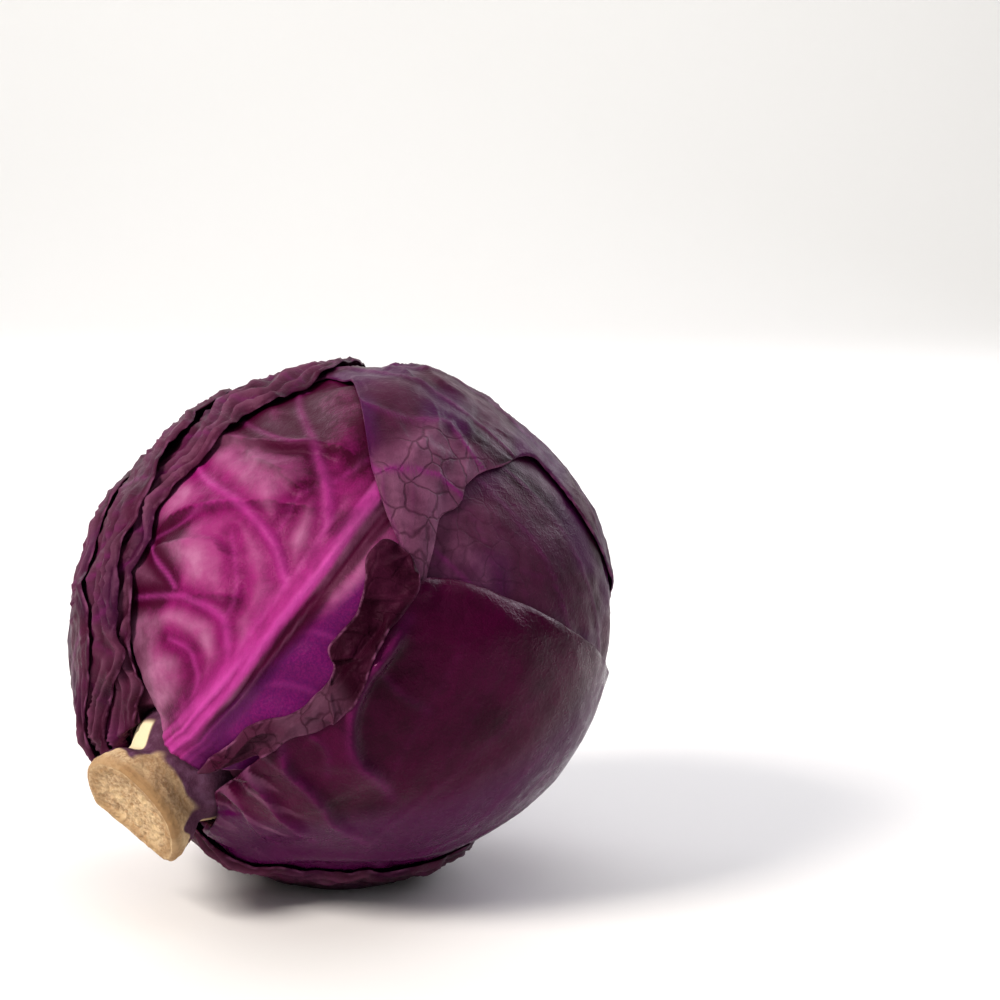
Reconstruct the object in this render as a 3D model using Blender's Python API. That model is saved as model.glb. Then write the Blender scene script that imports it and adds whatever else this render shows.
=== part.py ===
"""A whole red cabbage, lying on its side with its cut stalk low at the front left.

Every place on the head is given by two angles in degrees: the polar angle, from the stalk's
axis towards the crown, and the azimuth round that axis, from the front leaf's midrib.
Each leaf is a closed blade that is draped over whatever lies under it.
"""

import math
from dataclasses import dataclass

import bpy
from mathutils import Vector
from mathutils.bvhtree import BVHTree

MM = 0.001

# The head: an egg-round ball, 166 mm wide with its leaves; its wide axis rises to the right.
HEAD_WIDE = 85.4 * MM
HEAD_TALL = 79.2 * MM
HEAD_DEEP = 83.2 * MM
HEAD_ROLL = math.radians(22)
STALK_HEADING = math.radians(49.2)
STALK_DIP = math.radians(27.7)
FRONT_RIB_FROM_TOP = math.radians(-44.5)

# The leaves' rise to the stalk.
NECK_RISE = 0.045
NECK_ANGLE = 14.0

# The head's centre above the surface it lies on, the spot that its weight has flattened,
# and the room that each leaf takes there.
REST_HEIGHT = 77.4 * MM
FLAT_ANGLE = 14.0
FLAT_FILL = 1.9 * MM
LAYER = 2.3 * MM
HEART_COVER = 4

# The wrapper leaves that lie over the heart: fewer at the front than at the back, and fewer
# at the crown than round the stalk.
STACK_MEAN = 9.2 * MM
STACK_SWING = 2.5 * MM
STACK_TAPER = 2.4 * MM
STACK_THINNEST_AT = -12.0

# The stalk's profile: distance from the head's centre along the axis, and radius.
STALK_PROFILE = (
    (12, 2.5), (24, 6.5), (38, 10.5), (52, 14.5), (62, 17.4), (68, 18.6), (71, 18.4),
    (74.5, 17.8), (78, 17.2), (82, 17.0), (85, 17.4), (88, 18.0), (90.5, 18.5), (92.4, 18.3),
    (93.2, 17.2),
)  # fmt: skip
STALK_SIDES = 28
STALK_FLAT_AT = -168.7
STALK_FLAT_OFFSET = 10.5
STALK_FLAT_FROM = 74.0
STALK_RELIEF_FROM = 72.0
# Where the lowest leaves were cut off: distance along the axis, azimuth, spread and depth.
STALK_SCARS = ((83, 47, 34, 3.4), (86, -30, 30, 1.8), (83, -110, 32, 2.6), (85, 105, 30, 2.2))
CORE_CLEARANCE = 0.5 * MM
CORE_MOUTH = 68.0

# The heart: its own leaves' edges show as low spiral steps.
HEART_ROWS = 15
HEART_SIDES = 30
HEART_STEP = 1.3 * MM
HEART_LEAVES = 3
HEART_TWIST = 0.45

# Blades.
BLADE = 0.95 * MM
MARGIN = 0.65 * MM
GAP = 0.4 * MM
ACROSS = 14
ALONG = 22
RIB_CROWDING = 1.3
MARGIN_BAND = 0.16
RIB_HEIGHT = 3.3 * MM
RIB_HALF_WIDTH = 7.5 * MM
VEIN_HEIGHT = 0.8 * MM
QUILT = 0.8 * MM
CHART_RADIUS = 82 * MM
TESTS_PER_CELL = 3
TAUT_ROUNDS = 12
DRAPE_ROUNDS = 14
CLOSE_ENOUGH = 0.02 * MM
THINNEST = 0.75 * MM
SHARP_ANGLE = math.radians(40)


def axes_of_head():
    """The stalk's direction, the front midrib's direction square to it, and the third one."""
    level = math.cos(STALK_DIP)
    stalk = Vector((
        -math.sin(STALK_HEADING) * level,
        -math.cos(STALK_HEADING) * level,
        -math.sin(STALK_DIP),
    ))
    top = Vector((0, 0, 1))
    top = (top - top.dot(stalk) * stalk).normalized()
    beside = stalk.cross(top)
    turn = FRONT_RIB_FROM_TOP
    front = top * math.cos(turn) + beside * math.sin(turn)
    return stalk, front, stalk.cross(front)


STALK, FRONT, SIDE = axes_of_head()
WIDE_AXIS = Vector((math.cos(HEAD_ROLL), 0, math.sin(HEAD_ROLL)))
TALL_AXIS = Vector((-math.sin(HEAD_ROLL), 0, math.cos(HEAD_ROLL)))
DEEP_AXIS = Vector((0, 1, 0))
DOWN = Vector((0, 0, -1))


def direction(polar, azimuth):
    polar, azimuth = math.radians(polar), math.radians(azimuth)
    out = math.cos(azimuth) * FRONT + math.sin(azimuth) * SIDE
    return math.cos(polar) * STALK + math.sin(polar) * out


def angles(point):
    """(polar, azimuth) of a direction, in degrees."""
    polar = math.degrees(math.acos(max(-1.0, min(1.0, point.dot(STALK)))))
    return polar, math.degrees(math.atan2(point.dot(SIDE), point.dot(FRONT)))


def smooth_step(low, high, value):
    share = max(0.0, min(1.0, (value - low) / (high - low)))
    return share * share * (3 - 2 * share)


def interpolate(points, at):
    """Linear between (place, value) pairs."""
    if at <= points[0][0]:
        return points[0][1]
    for (low, first), (high, second) in zip(points, points[1:]):
        if at <= high:
            return first + (second - first) * (at - low) / (high - low)
    return points[-1][1]


def flatness(point):
    """1 at the middle of the spot that the head rests on, and 0 away from it."""
    off = math.degrees(point.angle(DOWN))
    return 1 - smooth_step(FLAT_ANGLE * 0.8, FLAT_ANGLE * 1.6, off)


def headroom(cover, out):
    """How far out a piece may reach, with this many leaves between it and the surface."""
    below = out.dot(DOWN)
    return (REST_HEIGHT - cover * LAYER) / below if below > 0.5 else math.inf


def heart_radius(point):
    """Distance from the head's centre to the heart's smooth surface, along a direction."""
    polar, azimuth = angles(point)
    swing = STACK_SWING * math.cos(math.radians(azimuth - STACK_THINNEST_AT))
    under = STACK_MEAN - swing * math.sin(math.radians(polar))
    under += STACK_TAPER * math.cos(math.radians(polar))
    scaled = Vector((
        point.dot(WIDE_AXIS) / (HEAD_WIDE - under),
        point.dot(DEEP_AXIS) / (HEAD_DEEP - under),
        point.dot(TALL_AXIS) / (HEAD_TALL - under),
    ))
    radius = 1 / scaled.length
    radius *= 1 + NECK_RISE * math.exp(-((polar / NECK_ANGLE) ** 2))
    return min(radius, headroom(HEART_COVER, point))


def add_object(name, points, faces, head):
    mesh = bpy.data.meshes.new(name)
    mesh.from_pydata(points, [], faces)
    mesh.shade_smooth()
    mesh.set_sharp_from_angle(angle=SHARP_ANGLE)
    mesh.materials.append(add_material(name, *LOOKS[name]))
    obj = bpy.data.objects.new(name, mesh)
    obj.parent = head
    bpy.context.scene.collection.objects.link(obj)


def ringed(rings, low_pole, high_pole):
    """Points and faces of a closed body from rings of points between two end points."""
    sides = len(rings[0])
    points = [low_pole] + [p for ring in rings for p in ring] + [high_pole]
    faces = [(0, 1 + (k + 1) % sides, 1 + k) for k in range(sides)]
    for row in range(len(rings) - 1):
        start = 1 + row * sides
        for k in range(sides):
            after = (k + 1) % sides
            faces.append((start + k, start + after, start + sides + after, start + sides + k))
    last, start = len(points) - 1, 1 + (len(rings) - 1) * sides
    faces += [(start + k, start + (k + 1) % sides, last) for k in range(sides)]
    return points, faces


def stalk_radius(along, azimuth):
    """The stalk's radius in millimetres: round in the neck, sliced flat at its low back side
    further out, with the steps where the lowest leaves were cut off."""
    radius = interpolate(STALK_PROFILE, along)
    out = smooth_step(STALK_RELIEF_FROM, STALK_RELIEF_FROM + 8, along)
    for place, turn, wide, depth in STALK_SCARS:
        off = (azimuth - turn + 180) % 360 - 180
        near = math.exp(-((off / wide) ** 2)) * smooth_step(place + 3, place - 3, along)
        radius -= out * depth * near
    turn = math.radians(azimuth - STALK_FLAT_AT)
    if math.cos(turn) > 0.2:
        sliced = min(radius, STALK_FLAT_OFFSET / math.cos(turn))
        share = smooth_step(STALK_FLAT_FROM, STALK_FLAT_FROM + 8, along)
        radius += (sliced - radius) * share
    return radius


def stalk_body():
    rings = []
    for along, _ in STALK_PROFILE:
        ring = []
        for k in range(STALK_SIDES):
            azimuth = 360 * k / STALK_SIDES
            out = direction(90, azimuth)
            ring.append((STALK * along + out * stalk_radius(along, azimuth)) * MM)
        rings.append(ring)
    low = STALK * (STALK_PROFILE[0][0] - 2) * MM
    high = STALK * STALK_PROFILE[-1][0] * MM
    return ringed(rings, low, high)


def heart_surface(polar, azimuth):
    """A point of the heart, with the edges of its own outer leaves as low spiral steps."""
    turn = azimuth / 360 * HEART_LEAVES + HEART_TWIST * math.sin(math.radians(polar))
    share = turn - math.floor(turn)
    rise = smooth_step(0, 0.85, share) - smooth_step(0.85, 1, share)
    point = direction(polar, azimuth)
    fade = math.sin(math.radians(polar)) * (1 - flatness(point))
    return point * (heart_radius(point) - HEART_STEP * (1 - rise) * fade)


def heart_body():
    """The packed inner leaves as one body, with the pocket that the stalk's core fills."""
    mouth_radius = interpolate(STALK_PROFILE, CORE_MOUTH) * MM + CORE_CLEARANCE
    first = math.degrees(math.atan2(mouth_radius, CORE_MOUTH * MM)) + 3
    rings = []
    for row in range(HEART_ROWS):
        polar = 180 - (180 - first) * (row + 0.6) / (HEART_ROWS - 0.4)
        rings.append([heart_surface(polar, 360 * k / HEART_SIDES) for k in range(HEART_SIDES)])
    mouth = [p for p in STALK_PROFILE if p[0] <= CORE_MOUTH]
    for along, radius in reversed(mouth):
        wide = radius * MM + CORE_CLEARANCE
        rings.append([
            STALK * along * MM + direction(90, 360 * k / HEART_SIDES) * wide
            for k in range(HEART_SIDES)
        ])
    crown = direction(180, 0)
    bottom = STALK * ((STALK_PROFILE[0][0] - 3) * MM)
    return ringed(rings, crown * heart_radius(crown), bottom)


@dataclass
class Leaf:
    """A wrapper leaf. Its rows run from the stalk to the tip.

    Each row holds (polar, azimuth) points in degrees: one margin, the midrib and the other
    margin. A row of two points has its midrib halfway.
    """

    name: str
    rows: list
    across: int = ACROSS
    along: int = ALONG
    rib: float = 1.0
    vein_spacing: float = 25 * MM
    vein_slope: float = 0.75
    phase: float = 0.0
    lift: float = 1.0 * MM
    waves: float = 9.0
    lifted: tuple = ()
    crowding: float = RIB_CROWDING
    cover: int = 1


def curve_through(points, steps=8):
    """Directions along a smooth curve through the points, one span after another."""
    ends = [2 * points[0] - points[1], *points, 2 * points[-1] - points[-2]]
    curve = []
    for p0, p1, p2, p3 in zip(ends, ends[1:], ends[2:], ends[3:]):
        for step in range(steps):
            t = step / steps
            bend = (2 * p0 - 5 * p1 + 4 * p2 - p3) * t * t + (3 * p1 - p0 - 3 * p2 + p3) * t ** 3
            curve.append((0.5 * (2 * p1 + (p2 - p0) * t + bend)).normalized())
    return [*curve, points[-1]]


def blade_rows(leaf):
    """(margin, midrib, margin) directions of the grid's rows, evenly spaced up the blade."""
    lines = []
    for row in leaf.rows:
        ends = [direction(*p) for p in row]
        if len(ends) == 2:
            ends.insert(1, (ends[0] + ends[1]).normalized())
        lines.append(ends)
    curves = [curve_through(line) for line in zip(*lines)]
    far, places = 0.0, [0.0]
    for k in range(len(curves[0]) - 1):
        far += sum(curve[k].angle(curve[k + 1]) for curve in curves)
        places.append(far)
    tables = [list(zip(places, curve)) for curve in curves]
    for row in range(leaf.along + 1):
        at = far * row / leaf.along
        yield [interpolate(table, at).normalized() for table in tables]


def crossing(near, middle, far, u):
    """A direction on the row through the two margins and the midrib; u is -1, 0 and 1 there."""
    first, second = near.angle(middle), middle.angle(far)
    node = first / (first + second)
    share = node * (1 + u) if u < 0 else node + (1 - node) * u
    low = (share - node) * (share - 1) / node
    rib = share * (share - 1) / (node * (node - 1))
    high = share * (share - node) / (1 - node)
    return (near * low + middle * rib + far * high).normalized()


@dataclass
class Place:
    """A grid point of a blade: direction, distances from its midrib and its base, and edge."""

    out: Vector
    across: float
    along: float
    share: float
    edge: float


def leaf_grid(leaf):
    grid, along, before = [], 0.0, None
    for row, (near, middle, far) in enumerate(blade_rows(leaf)):
        share = row / leaf.along
        along += before.angle(middle) * CHART_RADIUS if before else 0.0
        before = middle
        for column in range(leaf.across + 1):
            u = 2 * column / leaf.across - 1
            u = math.copysign(abs(u) ** leaf.crowding, u)
            out = crossing(near, middle, far, u)
            across = out.angle(middle) * CHART_RADIUS if u else 0.0
            edge = 1 - (1 - abs(u)) * (1 - smooth_step(0.84, 1, share))
            grid.append(Place(out, across, along, share, edge))
    return grid


def vein_turn(leaf, place):
    """Where a place lies between one side vein and the next, as a count of veins."""
    bend = 0.25 * place.across ** 2 / CHART_RADIUS
    return (place.along - leaf.vein_slope * place.across + bend) / leaf.vein_spacing + leaf.phase


def rib_relief(leaf, place):
    """How far the midrib and the side veins stand out of the blade, in metres."""
    taper = (1 - place.share) ** 0.8
    half = RIB_HALF_WIDTH * (0.35 + 0.65 * taper)
    rib = RIB_HEIGHT * (0.1 + 0.9 * taper) * math.exp(-((place.across / half) ** 2))
    fade = smooth_step(0, 12 * MM, place.across)
    vein = (0.5 + 0.5 * math.cos(2 * math.pi * vein_turn(leaf, place))) ** 3
    return leaf.rib * (rib + VEIN_HEIGHT * vein * fade)


def quilting(leaf, place):
    """The blade's swelling between its side veins."""
    turn = vein_turn(leaf, place)
    swell = 0.5 - 0.5 * math.cos(2 * math.pi * turn)
    cross = 0.6 + 0.4 * math.sin(place.across / (9 * MM) + 1.7 * math.floor(turn))
    return QUILT * swell * cross * smooth_step(4 * MM, 20 * MM, place.across)


def margin_lift(leaf, place):
    """How far the waved margin stands off what lies under it."""
    polar, azimuth = angles(place.out)
    lift = leaf.lift
    for low, high, turn, extra in leaf.lifted:
        off = (azimuth - turn + 180) % 360 - 180
        lift += extra * smooth_step(low, low + 12, polar) * smooth_step(
            high, high - 12, polar) * smooth_step(35, 20, abs(off))
    wave = 0.55 + 0.45 * math.sin(leaf.waves * 2 * math.pi * place.share + 5 * leaf.phase)
    return lift * wave * smooth_step(1 - MARGIN_BAND, 1, place.edge)


class Pile:
    """What has been laid on the head so far."""

    def __init__(self):
        self.points, self.faces = [], []
        self.tree = None

    def add(self, points, faces):
        start = len(self.points)
        self.points += points
        for face in faces:
            self.faces.append(tuple(start + k for k in face))
        self.tree = BVHTree.FromPolygons(self.points, self.faces, all_triangles=False)

    def samples(self):
        """The corners, and three places along each edge."""
        found = list(self.points)
        edges = {tuple(sorted(pair)) for face in self.faces for pair in zip(face, face[1:] + face[:1])}
        for first, last in sorted(edges):
            a, b = self.points[first], self.points[last]
            found += [a.lerp(b, share) for share in (0.25, 0.5, 0.75)]
        return found

    def top(self, out):
        hit = self.tree.ray_cast(out * 0.3, -out)
        return hit[0].length if hit[0] else 0.0


def grid_faces(columns, rows, start, flip):
    """Triangles of a grid of points, whose diagonals run to the grid's four corners."""
    faces = []
    for row in range(rows):
        for column in range(columns):
            a = start + row * (columns + 1) + column
            b, c, d = a + 1, a + columns + 2, a + columns + 1
            rising = (row < rows // 2) == (column < columns // 2)
            pair = [(a, b, c), (a, c, d)] if rising else [(a, b, d), (b, c, d)]
            faces += [t[::-1] for t in pair] if flip else pair
    return faces


def drape(leaf, outs, pile):
    """Radii of the blade's inner face: taut over what lies under it, and clear of it."""
    columns, rows = leaf.across, leaf.along
    wide = columns + 1
    least = [0.0] * len(outs)
    wanted = [(p.normalized(), p.length + GAP) for p in pile.samples()]
    for row in range(rows):
        for column in range(columns):
            start = row * wide + column
            corners = (start, start + 1, start + wide, start + wide + 1)
            tests = cell_tests(*(outs[k] for k in corners))
            tops = [(out, pile.top(out) + GAP) for out in tests]
            wanted += tops
            for k in corners:
                least[k] = max(least[k], *(carried(top, out, outs[k]) for out, top in tops))
    most = [headroom(leaf.cover, out) - BLADE for out in outs]
    radii = taut(least, most, columns, rows)
    faces = grid_faces(columns, rows, 0, False)
    for _ in range(DRAPE_ROUNDS):
        short = shortfall(outs, radii, faces, wanted)
        if not short:
            break
        for k, lack in short.items():
            radii[k] += lack
    return radii


def cell_tests(a, b, c, d):
    """Directions spread over a grid cell."""
    fine = TESTS_PER_CELL
    shares = [k / fine for k in range(fine + 1)]
    return [a.lerp(b, s).lerp(c.lerp(d, s), t).normalized() for s in shares for t in shares]


def carried(top, at, to):
    """The radius that a place asks of a corner beside it: at most level with it underneath."""
    level = at.dot(DOWN) / to.dot(DOWN) if min(at.dot(DOWN), to.dot(DOWN)) > 0.5 else 1.0
    return top * min(1.0, level)


def taut(least, most, columns, rows):
    """The lowest sheet over these radii that has no hollows: it bridges from high to high."""
    wide = columns + 1
    radii = list(least)
    for _ in range(TAUT_ROUNDS):
        before = list(radii)
        for row in range(rows + 1):
            for column in range(wide):
                k = row * wide + column
                near = [before[k - 1], before[k + 1]] if 0 < column < columns else []
                near += [before[k - wide], before[k + wide]] if 0 < row < rows else []
                if near:
                    radii[k] = max(least[k], min(most[k], sum(near) / len(near)))
    return radii


def shortfall(outs, radii, faces, wanted):
    """How much each corner has to rise for the flat faces to clear every wanted place."""
    tree = BVHTree.FromPolygons([o * r for o, r in zip(outs, radii)], faces)
    short = {}
    for out, need in wanted:
        hit = tree.ray_cast(Vector((0, 0, 0)), out)
        if hit[0] and hit[0].length < need - CLOSE_ENOUGH:
            for k in faces[hit[2]]:
                short[k] = max(short.get(k, 0.0), need - hit[0].length)
    return short


def leaf_body(leaf, pile):
    """Points and faces of one draped blade."""
    columns, rows = leaf.across, leaf.along
    grid = leaf_grid(leaf)
    radii = drape(leaf, [place.out for place in grid], pile)
    inner, outer = [], []
    for place, radius in zip(grid, radii):
        flat = flatness(place.out)
        near = smooth_step(1 - MARGIN_BAND, 1, place.edge)
        radius += (1 - flat) * (quilting(leaf, place) * (1 - near) + margin_lift(leaf, place))
        thick = BLADE + (MARGIN - BLADE) * near + flat * FLAT_FILL
        thick += (1 - flat) * (1 - near) * rib_relief(leaf, place)
        top = min(radius + thick, headroom(leaf.cover, place.out))
        inner.append(place.out * min(radius, top - THINNEST))
        outer.append(place.out * top)
    count = len(inner)
    faces = grid_faces(columns, rows, 0, True) + grid_faces(columns, rows, count, False)
    wide = columns + 1
    border = [k for k in range(columns)]
    border += [k * wide + columns for k in range(rows)]
    border += [rows * wide + k for k in range(columns, 0, -1)]
    border += [k * wide for k in range(rows, 0, -1)]
    for here, after in zip(border, border[1:] + border[:1]):
        faces += [(here, after, count + after), (here, count + after, count + here)]
    points = inner + outer
    if signed_volume(points, faces) < 0:
        faces = [face[::-1] for face in faces]
    return points, faces


def signed_volume(points, faces):
    total = 0.0
    for face in faces:
        for k in range(1, len(face) - 1):
            a, b, c = points[face[0]], points[face[k]], points[face[k + 1]]
            total += a.dot(b.cross(c)) / 6
    return total


# The leaves, from the innermost outwards.
LEAVES = (
    Leaf("right_back_leaf", [
        ((14, -140), (14, -110), (14, -80)), ((34, -170), (34, -112), (34, -52)),
        ((60, -174), (62, -100), (60, -28)), ((86, -176), (92, -90), (82, 2)),
        ((112, -176), (118, -82), (104, 14)), ((134, -172), (140, -80), (122, 16)),
        ((154, -150), (161, -70), (144, 2))],
        phase=0.3, cover=3),
    Leaf("front_leaf", [
        ((13.5, -26), (13.5, -6), (13.5, 24)), ((25, -36), (25, -7), (25, 48)),
        ((36, -39), (36, -6.4), (36, 58)), ((46, -40), (46, -3.8), (46, 62)),
        ((57, -37), (57, -0.8), (57, 64)), ((66, -31), (67, 1.3), (68, 65)),
        ((76, -20), (77, 2.2), (80, 65)), ((84, -9), (87, 4), (92, 64)),
        ((95, -3), (101, 9), (104, 60)), ((108, 2), (114, 15), (116, 54)),
        ((120, 7), (125, 20), (127, 45)), ((127, 12), (130, 21), (132, 33))],
        phase=0.1, rib=1.25, vein_slope=0.6),
    Leaf("crown_leaf", [
        ((13.8, 68), (13.8, 88), (13.8, 108)), ((35, 62), (35, 99), (35, 136)),
        ((60, 62), (62, 103), (60, 146)), ((85, 57), (92, 103), (88, 150)),
        ((101, 53), (111, 101), (106, 152)), ((111, 46), (124, 96), (123, 156)),
        ((109, 34), (136, 84), (138, 162)), ((94, 15), (140, 74), (146, 175)),
        ((88, 7.5), (141.5, 66), (148, -168)), ((84, 1), (142, 59), (148, -145)),
        ((80, -8.5), (142, 50), (146, -122)), ((77, -17), (141, 42), (144, -100)),
        ((84, -13.5), (141, 32), (141, -84)), ((92, -8), (140, 22), (138, -68)),
        ((98, -8.5), (138.5, 14), (135, -58)), ((103, -6), (136.5, 8), (133.5, -50)),
        ((110, -6.3), (135.5, 2), (132, -43)), ((116, -8), (134, -4), (130.5, -35)),
        ((122, -8), (128, -12), (129, -25))],
        across=20, along=30, crowding=0.85, cover=3, phase=0.6, lift=0.9 * MM, waves=12, rib=0.6),
    Leaf("left_inner_leaf", [
        ((13.5, 75), (13.5, 100), (13.5, 128)), ((20, 56), (21, 108), (24, 155)),
        ((27, 49.5), (30, 112), (35, 172)), ((42, 52), (48, 114), (52, 178)),
        ((61, 51), (66, 114), (72, 180)), ((75, 46), (84, 112), (92, 178)),
        ((90, 45), (102, 108), (110, 172)), ((104, 43.5), (118, 104), (126, 163)),
        ((120, 48), (132, 100), (138, 150)), ((134, 60), (141, 98), (143, 136)),
        ((141, 68), (147, 98), (146, 124))],
        lift=1.3 * MM, waves=14, lifted=((22, 100, 48, 1.2 * MM),), cover=3),
    Leaf("left_outer_leaf", [
        ((13.5, 110), (13.5, 140), (13.5, 170)), ((19, 82), (20, 142), (22, -165)),
        ((25, 62), (29, 142), (34, -150)), ((37, 57), (45, 141), (52, -145)),
        ((49, 62), (60, 140), (70, -144)), ((60, 60.5), (76, 139), (88, -147)),
        ((76, 60), (92, 138), (104, -152)), ((92, 64), (108, 138), (118, -162)),
        ((108, 73), (122, 138), (129, -178)), ((124, 95), (132, 139), (135, 170)),
        ((131, 104), (138, 139), (139, 166))],
        cover=2, phase=0.45, lift=1.3 * MM, waves=13, lifted=((22, 95, 60, 1.4 * MM),)),
    Leaf("lower_leaf", [
        ((13.5, -122), (13.5, -88), (13.5, -54)), ((22, -150), (23, -90), (24, -35)),
        ((34, -162), (36, -94), (36, -27)), ((48, -166), (52, -95), (50, -24)),
        ((64, -166), (68, -94), (62, -19.5)), ((78, -163), (84, -92), (73, -15.5)),
        ((92, -155), (98, -91), (82, -16)), ((104, -144), (108, -90), (92, -28)),
        ((113, -130), (117, -90), (104, -45)), ((120, -112), (122, -88), (114, -62))],
        phase=0.2, lift=0.9 * MM, waves=10),
    Leaf("back_leaf", [
        ((13.5, 150), (13.5, 178), (13.5, -155)), ((19, 105), (20, 176), (22, -120)),
        ((26, 80), (29, 172), (31, -107)), ((36, 74), (42, 168), (44, -103)),
        ((46, 79), (56, 167), (58, -102)), ((57, 77), (70, 168), (72, -105)),
        ((72, 80), (84, 170), (86, -114)), ((88, 91), (97, 172), (99, -130)),
        ((102, 110), (108, 174), (109, -148)), ((110, 130), (115, 175), (114, -160)),
        ((115, 142), (121, 174), (119, -168))],
        phase=0.75, lift=1.1 * MM, waves=11, lifted=((25, 85, 78, 1.0 * MM),),
        cover=0),
    Leaf("torn_leaf", [
        ((13.5, -31), (13.5, -24)), ((20, -29.5), (20, -19)), ((27, -28.5), (27, -18.5)),
        ((33, -28.3), (32, -17.6)), ((40, -28.5), (38, -20)), ((46, -30), (44, -22)),
        ((52, -29), (50, -21)), ((57, -26), (54.5, -18.5)), ((61, -22), (56.5, -14)),
        ((65, -20), (62, -12.6)), ((68, -18.5), (67, -10)), ((72, -18), (71, -6.5)),
        ((75, -17), (75, -4.5)), ((78, -15), (79, -4.5)), ((80, -11), (80.5, -7))],
        across=6, along=26, rib=0.0, lift=0.6 * MM, waves=5, cover=0),
)  # fmt: skip


# Each piece's colour in linear light, and its roughness.
LOOKS = {
    "stalk": ((0.55, 0.38, 0.21), 0.85),
    "heart": ((0.10, 0.015, 0.08), 0.5),
    "right_back_leaf": ((0.085, 0.03, 0.06), 0.5),
    "front_leaf": ((0.27, 0.02, 0.15), 0.4),
    "crown_leaf": ((0.07, 0.022, 0.045), 0.5),
    "left_inner_leaf": ((0.06, 0.015, 0.035), 0.5),
    "left_outer_leaf": ((0.055, 0.016, 0.035), 0.5),
    "lower_leaf": ((0.07, 0.012, 0.045), 0.45),
    "back_leaf": ((0.06, 0.014, 0.04), 0.5),
    "torn_leaf": ((0.055, 0.02, 0.035), 0.55),
}


def add_material(name, colour, roughness):
    material = bpy.data.materials.new(name)
    material.use_nodes = True
    shader = material.node_tree.nodes["Principled BSDF"]
    shader.inputs["Base Color"].default_value = (*colour, 1)
    shader.inputs["Roughness"].default_value = roughness
    material.diffuse_color = (*colour, 1)
    return material


def all_bodies():
    """Points and faces of every piece, round the head's centre, from the inside outwards."""
    bodies = {"stalk": stalk_body(), "heart": heart_body()}
    pile = Pile()
    for points, faces in bodies.values():
        pile.add(points, faces)
    for leaf in LEAVES:
        bodies[leaf.name] = leaf_body(leaf, pile)
        pile.add(*bodies[leaf.name])
    return bodies


def main():
    for obj in list(bpy.data.objects):
        bpy.data.objects.remove(obj)
    head = bpy.data.objects.new("cabbage_head", None)
    head.location.z = REST_HEIGHT
    bpy.context.scene.collection.objects.link(head)
    for name, (points, faces) in all_bodies().items():
        add_object(name, points, faces, head)


main()
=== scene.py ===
"""Looks of a whole purple cabbage head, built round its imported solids.

Every place on the head is given by two angles in degrees: the polar angle, from the stalk's
axis towards the crown, and the azimuth round that axis, from the front leaf's midrib. Each
leaf is a thin closed blade, draped over whatever lies under it.
"""

import math
from dataclasses import dataclass, field

import bpy
import numpy as np
from bpy.props import FloatProperty, FloatVectorProperty, PointerProperty
from mathutils import Matrix, Vector
from mathutils.bvhtree import BVHTree
from mathutils.kdtree import KDTree


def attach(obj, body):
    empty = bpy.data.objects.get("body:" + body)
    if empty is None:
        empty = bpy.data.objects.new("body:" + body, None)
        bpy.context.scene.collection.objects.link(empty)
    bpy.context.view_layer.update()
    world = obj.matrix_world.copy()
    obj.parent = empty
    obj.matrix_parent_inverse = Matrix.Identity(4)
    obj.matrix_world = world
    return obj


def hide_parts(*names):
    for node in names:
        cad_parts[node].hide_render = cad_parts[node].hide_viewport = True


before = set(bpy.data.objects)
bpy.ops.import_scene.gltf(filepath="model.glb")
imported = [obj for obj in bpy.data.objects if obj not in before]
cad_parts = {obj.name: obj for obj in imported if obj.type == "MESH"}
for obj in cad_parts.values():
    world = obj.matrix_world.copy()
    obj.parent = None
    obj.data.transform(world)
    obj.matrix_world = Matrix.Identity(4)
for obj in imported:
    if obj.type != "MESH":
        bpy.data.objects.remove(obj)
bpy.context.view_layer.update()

bl_info = {
    "name": "Cabbage head",
    "version": (1, 0, 0),
    "blender": (4, 5, 0),
    "location": "View3D > Sidebar > Cabbage",
    "description": "Builds the leaves, the stalk and the stage of a whole cabbage head",
    "category": "Add Mesh",
}

MM = 0.001

# The head, as its solids have it.
HEAD_WIDE = 85.4 * MM
HEAD_TALL = 79.2 * MM
HEAD_DEEP = 83.2 * MM
HEAD_ROLL = math.radians(22)
STALK_HEADING = math.radians(49.2)
STALK_DIP = math.radians(27.7)
FRONT_RIB_FROM_TOP = math.radians(-44.5)
NECK_RISE = 0.045
NECK_ANGLE = 14.0
REST_HEIGHT = 77.4 * MM
FLAT_ANGLE = 14.0
FLAT_FILL = 1.9 * MM
LAYER = 2.3 * MM
HEART_COVER = 4
STACK_MEAN = 9.2 * MM
STACK_SWING = 2.5 * MM
STACK_TAPER = 2.4 * MM
STACK_THINNEST_AT = -12.0
CHART_RADIUS = 82 * MM
# Rays that feel for what lies on the head start this far from its centre.
RAY_REACH = 0.3
# Rounds of easing a blade onto the head, of bridging hollows under it, and of smoothing it.
EASE_ROUNDS = 30
BRIDGE_ROUNDS = 10
SMOOTH_ROUNDS = 3
VEIN_PAIRS = 7

# The stalk: distance from the head's centre along the axis, and radius, in millimetres.
STALK_PROFILE = (
    (12, 2.5), (24, 6.5), (38, 10.5), (52, 14.5), (62, 17.4), (68, 18.6), (71, 18.4),
    (74.5, 17.8), (78, 17.2), (82, 17.0), (85, 17.4), (88, 18.0), (90.5, 18.5), (92.4, 18.3),
    (93.2, 17.2),
)
STALK_FLAT_AT = -168.7
STALK_FLAT_OFFSET = 10.5
STALK_FLAT_FROM = 74.0
STALK_RELIEF_FROM = 72.0
# Where the lowest leaves were cut off: distance along the axis, azimuth, spread and depth.
STALK_SCARS = ((83, 47, 34, 3.4), (86, -30, 30, 1.8), (83, -110, 32, 2.6), (85, 105, 30, 2.2))
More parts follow.
